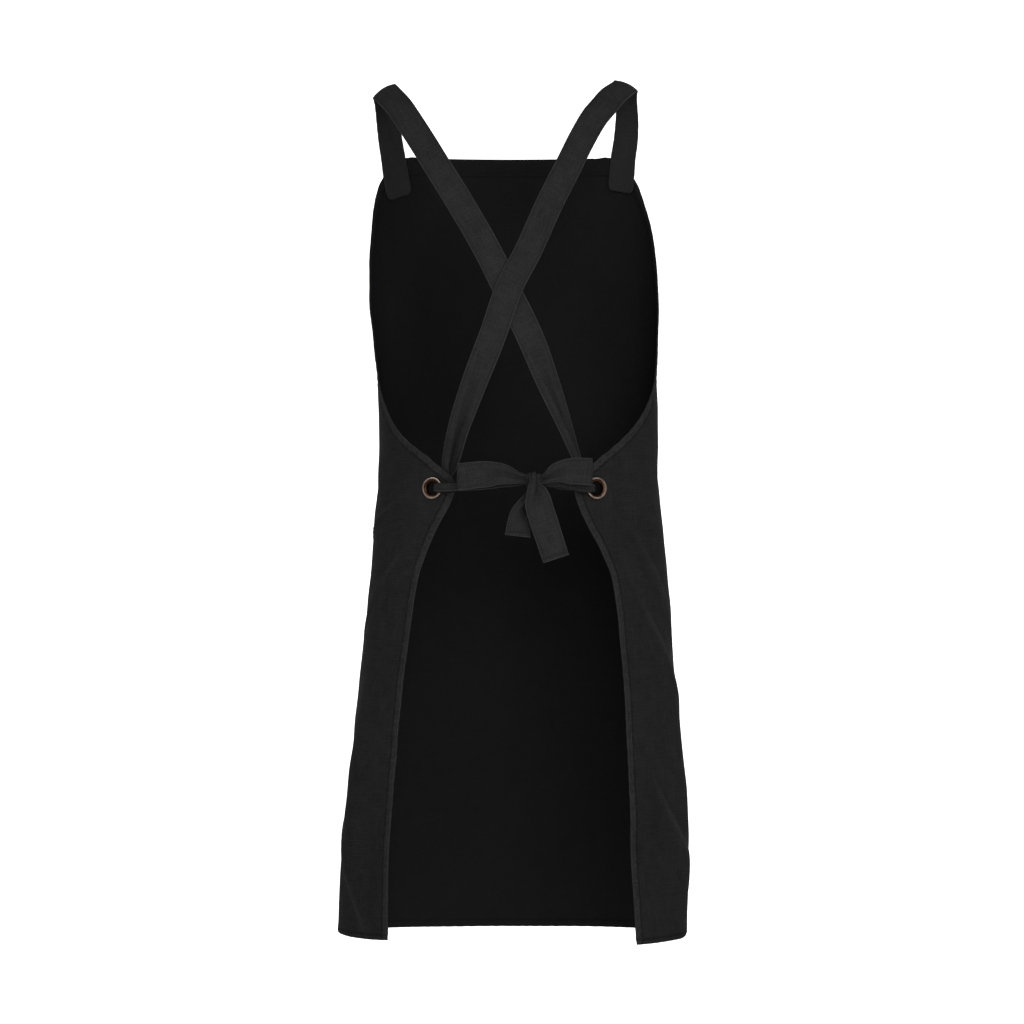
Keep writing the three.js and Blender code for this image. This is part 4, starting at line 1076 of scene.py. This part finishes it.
class Nodes:
    """A material's node tree."""

    def __init__(self, name: str) -> None:
        """Starts an empty material with its output."""
        self.material = bpy.data.materials.new(name)
        self.material.use_nodes = True
        self.tree = self.material.node_tree
        self.tree.nodes.clear()
        self.output = self.tree.nodes.new("ShaderNodeOutputMaterial")

    def add(self, kind: str, settings: Optional[dict] = None,
            inputs: Optional[dict] = None, out: Union[int, str] = 0) -> Number:
        """Makes one node.

        Args:
            kind: The node's type.
            settings: Its properties, set before its inputs.
            inputs: Values or links by socket name or number.
            out: The output to return.

        Returns:
            The chosen output as a Number.
        """
        node = self.tree.nodes.new(kind)
        for key, value in (settings or {}).items():
            setattr(node, key, value)
        for key, value in (inputs or {}).items():
            if isinstance(value, Number):
                self.tree.links.new(value.socket, node.inputs[key])
            else:
                node.inputs[key].default_value = value
        return Number(self, node.outputs[out])

    def mark(self, name: str) -> Number:
        """A point attribute of the piece."""
        return self.add("ShaderNodeAttribute", {"attribute_name": name}, out="Fac")

    def flat(self) -> tuple[Number, Number, Number]:
        """The place on the flat cloth: the vector in metres, and both parts in millimetres."""
        place = self.add("ShaderNodeUVMap", {"uv_map": "cloth"})
        parts = {axis: self.add("ShaderNodeSeparateXYZ", {}, {0: place}, axis) for axis in "XY"}
        return place, parts["X"] * 1000.0, parts["Y"] * 1000.0

    def noise(self, place: Number, scale: float, detail: float, rough: float) -> Number:
        """Fractal noise from 0 to 1 at a place in metres."""
        return self.add("ShaderNodeTexNoise", {"noise_dimensions": "3D"},
                        {"Vector": place, "Scale": scale, "Detail": detail, "Roughness": rough})

    def mix(self, share: Number, low: tuple, high: Union[tuple, Number]) -> Number:
        """A colour between two by a share.

        Args:
            share: 0 for low to 1 for high.
            low: The first colour.
            high: The second.

        Returns:
            The colour.
        """
        high = high if isinstance(high, Number) else (*high, 1.0)
        low = low if isinstance(low, Number) else (*low, 1.0)
        return self.add("ShaderNodeMix", {"data_type": "RGBA"}, {0: share, 6: low, 7: high}, 2)

    def finish(self, surface: dict) -> bpy.types.Material:
        """Adds the surface shader and joins it to the output."""
        shader = self.add("ShaderNodeBsdfPrincipled", {}, surface)
        self.tree.links.new(shader.socket, self.output.inputs["Surface"])
        return self.material


def stitches(distance: Number, along: Number, row: float, stitch: float = 3.1) -> Number:
    """Dashes in a row at a set distance from an edge, 0.45 mm wide, with short gaps between.

    Args:
        distance: Millimetres from the edge.
        along: Millimetres along it.
        row: The row's distance from the edge.
        stitch: The stitches' pace.

    Returns:
        1 on thread and 0 elsewhere.
    """
    line = distance.band(row, 0.22, 0.28)
    dash = (along / stitch).fraction().band(0.5, 0.34, 0.10)
    return line * dash


def furrow(distance: Number, row: float, half: float = 0.5, soft: float = 1.1) -> Number:
    """The shallow furrow that a row of stitches or a turned edge pulls into the cloth."""
    return distance.band(row, half, soft)


@dataclass(frozen=True)
class Canvas:
    """Matte black canvas: plain weave, slubs, faint fading, with stitched hems where marked."""

    name: str
    outside: Tone
    # The inside tone is the outside one darkened: painted shade on the inner face.
    inside: Tone
    thread: Tone
    yarn: float = 0.82
    roughness: float = 0.86

    def weave(self, across: Number, along: Number) -> Number:
        """Height of a plain weave: warp and weft ribs that rise in turn."""
        warp = (across * (2 * np.pi / self.yarn)).sine()
        weft = (along * (2 * np.pi / self.yarn)).sine()
        return warp * weft * 0.5 + 0.5

    def base(self, nodes: Nodes, behind: Number, seams: Number, grooves: Number,
             wear_and_painted_highlight: Number) -> bpy.types.Material:
        """Mixes the cloth's colours and heights into the surface.

        Args:
            nodes: The material's tree.
            behind: Where the cloth's inner face is, which gets the darker inside tone as painted
                shade.
            seams: Where thread lies.
            grooves: Where the cloth is drawn in, lower in the bump and darkened as painted shade.
            wear_and_painted_highlight: Where the cloth is rubbed lighter, and where crease ridges
                get a painted highlight.

        Returns:
            The material.
        """
        place, across, along = nodes.flat()
        whole = nodes.add("ShaderNodeTexCoord", {}, {}, "Object")
        weave = self.weave(across, along)
        slub = nodes.noise(place, 640.0, 3.0, 0.75)
        long, close = 34.0, 760.0
        drawn = [nodes.add("ShaderNodeVectorMath", {"operation": "MULTIPLY"}, {0: place, 1: size})
                 for size in ((close, long, 1.0), (long, close, 1.0))]
        warp, weft = (nodes.noise(way, 1.0, 2.0, 0.6) for way in drawn)
        yarns = warp.largest(weft)
        patch = nodes.noise(whole, 9.0, 4.0, 0.6)
        mottle = nodes.noise(whole, 75.0, 3.0, 0.6)
        # The inner face gets the darker inside tone and, through shown, fainter texture, thread
        # and highlights: painted shade.
        face = nodes.mix(behind, self.outside, self.inside)
        shown = behind * -0.60 + 1.0
        tone = patch * 0.50 + mottle * 0.50 + slub * 1.80 + yarns * 1.10 + weave * 0.10 - 2.07
        # The grooves are darkened in colour as painted shade, less on the inner face.
        painted_groove_shade = grooves * (behind * -0.85 + 1.0) * 0.52
        tone = ((tone + wear_and_painted_highlight * 0.62) * shown - painted_groove_shade + 1.0).largest(0.15)
        toned = nodes.add("ShaderNodeVectorMath", {"operation": "SCALE"}, {0: face, "Scale": tone})
        colour = nodes.mix(seams * shown * 0.7, toned, self.thread)
        height = weave * 0.08 + slub * 0.12 + yarns * 0.14 + seams * 0.25 - grooves * 0.45
        bump = nodes.add("ShaderNodeBump", {}, {
            "Height": height, "Strength": 0.55, "Distance": 0.001})
        return nodes.finish({
            "Base Color": colour, "Roughness": slub * 0.10 + (self.roughness - 0.05),
            "Specular IOR Level": 0.02, "Normal": bump})

    def panel(self) -> bpy.types.Material:
        """The finish of the hemmed panel, with its stitch rows inside each hem."""
        nodes = Nodes(self.name)
        _, across, _ = nodes.flat()
        side, run, top, bottom = (nodes.mark(key) for key in ("side", "run", "top", "bottom"))
        rows = ((side, run, CUT.side_hem - 1.6), (top, across, CUT.top_hem - 2.0),
                (bottom, across, CUT.bottom_hem - 1.5))
        seams = Number.largest(*(stitches(*row) for row in rows))
        # The furrows by the stitch rows, which the base also darkens as painted shade.
        grooves = Number.largest(*(furrow(distance, row) for distance, _, row in rows))
        place = nodes.add("ShaderNodeTexCoord", {}, {}, "Object")
        rubbed = (nodes.noise(place, 260.0, 3.0, 0.7) * 3.2 - 1.05).limited()
        # The cloth's edges and patchy rubbing along the side hems are wear; the crease ridges get
        # a painted highlight.
        wear_and_painted_highlight = Number.largest(*(edge.band(0.0, 0.5, 1.2) for edge in (side, top, bottom)))
        wear_and_painted_highlight = wear_and_painted_highlight.largest(side.band(3.6, 3.6, 0.8) * rubbed, nodes.mark("ridge") * 1.05)
        return self.base(nodes, nodes.mark("inside").limited(), seams, grooves, wear_and_painted_highlight)

    def strap(self) -> bpy.types.Material:
        """The finish of a strap: stitches along both of its edges and a row across its end."""
        nodes = Nodes(self.name)
        across, run, left = (nodes.mark(key) for key in ("across", "run", "left"))
        edge = CUT.strap_width / 2 - abs(across - CUT.strap_width / 2)
        edge_row, end_row = 2.0, 4.2
        seams = stitches(edge, run, edge_row).largest(stitches(left, across, end_row))
        # The furrows by the stitch rows and, where the strap is folded, its fold lines: darkened
        # in the base as painted shade.
        grooves = furrow(edge, edge_row, 0.3, 0.8) * 0.6
        sharp = (nodes.mark("fold") * 1.3 - 0.08).limited()
        grooves = grooves.largest(nodes.mark("crease").band(0.0, 0.4, 1.5) * sharp,
                                  furrow(left, end_row, 0.3, 0.8))
        wear_and_painted_highlight = edge.band(0.0, 0.3, 0.9).largest(left.band(0.0, 0.4, 0.9))
        # The strap's inner face in front of the shoulder gets the darker inside tone: painted
        # shade.
        behind = (nodes.mark("inside") * nodes.mark("front")).limited()
        return self.base(nodes, behind, seams * 0.8, grooves, wear_and_painted_highlight)


@dataclass(frozen=True)
class Copper:
    """Antique copper plating: satin, with brown patina in the hollows and a painted highlight
    along the crests.
    """

    name: str
    # The pale tone is painted along the crest as a highlight.
    painted_highlight: Tone = (0.38, 0.32, 0.275)
    brown: Tone = (0.036, 0.017, 0.009)

    def material(self) -> bpy.types.Material:
        """Mixes both tones by the crest mark and patina noise, which paints the crest's highlight,
        and pits the surface slightly.
        """
        nodes = Nodes(self.name)
        place = nodes.add("ShaderNodeTexCoord", {}, {}, "Object")
        patina = nodes.noise(place, 320.0, 4.0, 0.6)
        fine = nodes.noise(place, 2600.0, 2.0, 0.5)
        # Pale along the crest: a painted highlight, broken up by the patina noise.
        share = (nodes.mark("crest") * 1.25 + patina * 0.5 - 0.52).limited()
        colour = nodes.mix(share, self.brown, self.painted_highlight)
        bump = nodes.add("ShaderNodeBump", {}, {
            "Height": fine * 0.5 + patina * 0.5, "Strength": 0.25, "Distance": 0.0003})
        return nodes.finish({"Base Color": colour, "Metallic": 1.0,
                             "Roughness": fine * 0.16 + 0.24, "Normal": bump})


class Studio:
    """The camera, the pale sweep of paper behind and the soft lights."""

    distance = 4.5
    height = -0.4635
    half_frame = 0.5545

    def build(self) -> None:
        """Makes the camera, the sweep, the lamps and the even light of the room."""
        self.camera()
        self.sweep()
        self.lamp("key_light", (-1.05, 4.1, 0.6), (0, 0, -0.45), 2.8, 134.0)
        self.lamp("fill_light", (1.9, 2.1, 0.9), (0, 0, -0.2), 1.4, 18.0)
        world = bpy.data.worlds.new("room")
        world.use_nodes = True
        world.node_tree.nodes["Background"].inputs["Color"].default_value = (1, 1, 1, 1)
        world.node_tree.nodes["Background"].inputs["Strength"].default_value = 0.20
        bpy.context.scene.world = world
        bpy.context.scene.view_settings.view_transform = "Standard"

    def camera(self) -> None:
        """A level camera straight behind the apron, whose frame is half_frame each way."""
        data = bpy.data.cameras.new("camera")
        data.sensor_width = 36.0
        data.lens = 18.0 * self.distance / self.half_frame
        camera = bpy.data.objects.new("camera", data)
        camera.location = (0.0, self.distance, self.height)
        camera.rotation_euler = (np.pi / 2, 0.0, np.pi)
        bpy.context.scene.collection.objects.link(camera)
        bpy.context.scene.camera = camera

    def sweep(self) -> None:
        """A floor that curves up into a wall: a straight, a quarter circle and a straight."""
        floor, wall, radius, top = -1.42, -2.9, 0.9, 3.2
        turn = np.linspace(0, np.pi / 2, 25)
        y = np.concatenate([[7.0], wall + radius - radius * np.sin(turn), [wall]])
        z = np.concatenate([[floor], floor + radius - radius * np.cos(turn), [top]])
        x = np.array([-7.0, 7.0])
        points = np.stack(np.broadcast_arrays(x[None], y[:, None], z[:, None]), -1).reshape(-1, 3)
        place = np.arange(len(y) * 2).reshape(-1, 2)
        quads = np.stack([place[:-1, 0], place[:-1, 1], place[1:, 1], place[1:, 0]], -1)
        sweep = piece_of("sweep", points / MM, quads, {})
        nodes = Nodes("pale_paper")
        place = nodes.add("ShaderNodeTexCoord", {}, {}, "Object")
        height = nodes.add("ShaderNodeSeparateXYZ", {}, {0: place}, "Z")
        wall = ((height + 1.40) / 0.12).limited()
        sweep.data.materials.append(nodes.finish({
            "Base Color": (0.9, 0.9, 0.9, 1), "Roughness": 0.9, "Specular IOR Level": 0.0,
            "Emission Color": nodes.mix(wall, (0, 0, 0), (1, 1, 1)), "Emission Strength": 1.0}))

    def lamp(self, name: str, place: tuple, aim: tuple, size: float, power: float) -> None:
        """A square soft box at a place, turned towards a point.

        Args:
            name: The lamp's name.
            place: Where it stands, in metres.
            aim: The point.
            size: Its width in metres.
            power: Its power in watts.
        """
        data = bpy.data.lights.new(name, "AREA")
        data.size = size
        data.energy = power
        lamp = bpy.data.objects.new(name, data)
        lamp.location = place
        way = np.array(aim, float) - np.array(place, float)
        flat = np.hypot(way[0], way[1])
        lamp.rotation_euler = (
            np.arctan2(flat, -way[2]), 0.0, np.arctan2(way[1], way[0]) - np.pi / 2)
        bpy.context.scene.collection.objects.link(lamp)


class Apron:
    """The whole apron: panel, eyelets, straps and bow, each with its finish."""

    def __init__(self) -> None:
        """Shapes the parts and mixes their finishes."""
        self.panel = Panel()
        self.straps = Straps(self.panel)
        # The inside tones are darker than the outside ones: painted shade on the inner faces.
        cloth = Canvas("black_canvas", (0.0148,) * 3, (0.0083,) * 3, (0.019,) * 3)
        webbing = Canvas("strap_canvas", (0.0200,) * 3, (0.0180,) * 3, (0.027,) * 3)
        self.cloth = cloth.panel()
        self.webbing = webbing.strap()
        self.copper = Copper("antique_copper").material()

    def settle(self, piece: bpy.types.Object, node: str,
               material: bpy.types.Material) -> bpy.types.Object:
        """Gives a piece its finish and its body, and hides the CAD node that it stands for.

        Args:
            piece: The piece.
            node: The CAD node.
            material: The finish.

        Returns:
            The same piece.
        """
        piece.data.materials.append(material)
        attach(piece, "root")
        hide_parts(node)
        LOG.info("%s: %d faces", piece.name, len(piece.data.polygons))
        return piece

    def build(self) -> None:
        """Makes every piece of the apron."""
        panel = self.settle(self.panel.grid().mesh("panel_canvas"), "apron_body",
                            self.cloth)
        for side, eyelet in self.panel.eyelets.items():
            self.settle(eyelet.build(), f"eyelet_{side.label}", self.copper)
            self.tape(self.straps.strap(side), f"strap_{side.label}")
        self.settle(self.straps.knot_piece(), "bow_knot", self.webbing)
        self.tape(self.straps.loop(Side.LEFT, CUT.loop_left, 0.01), "bow_loop_left")
        self.tape(self.straps.loop(Side.RIGHT, CUT.loop_right, 0.12), "bow_loop_right")
        self.tape(self.straps.tail(LONG_TAIL, CUT.tail_long), "tie_end_long")
        self.tape(self.straps.tail(SHORT_TAIL, CUT.tail_short), "tie_end_short")

    def tape(self, tape: Tape, node: str) -> bpy.types.Object:
        """Makes one strap's piece."""
        return self.settle(tape.grid().mesh(f"{node}_tape"), node, self.webbing)


def main() -> None:
    """Builds the studio and the apron."""
    logging.basicConfig(level=logging.INFO, format="%(name)s: %(message)s")
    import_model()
    Studio().build()
    Apron().build()


if __name__ == "__main__":
    main()
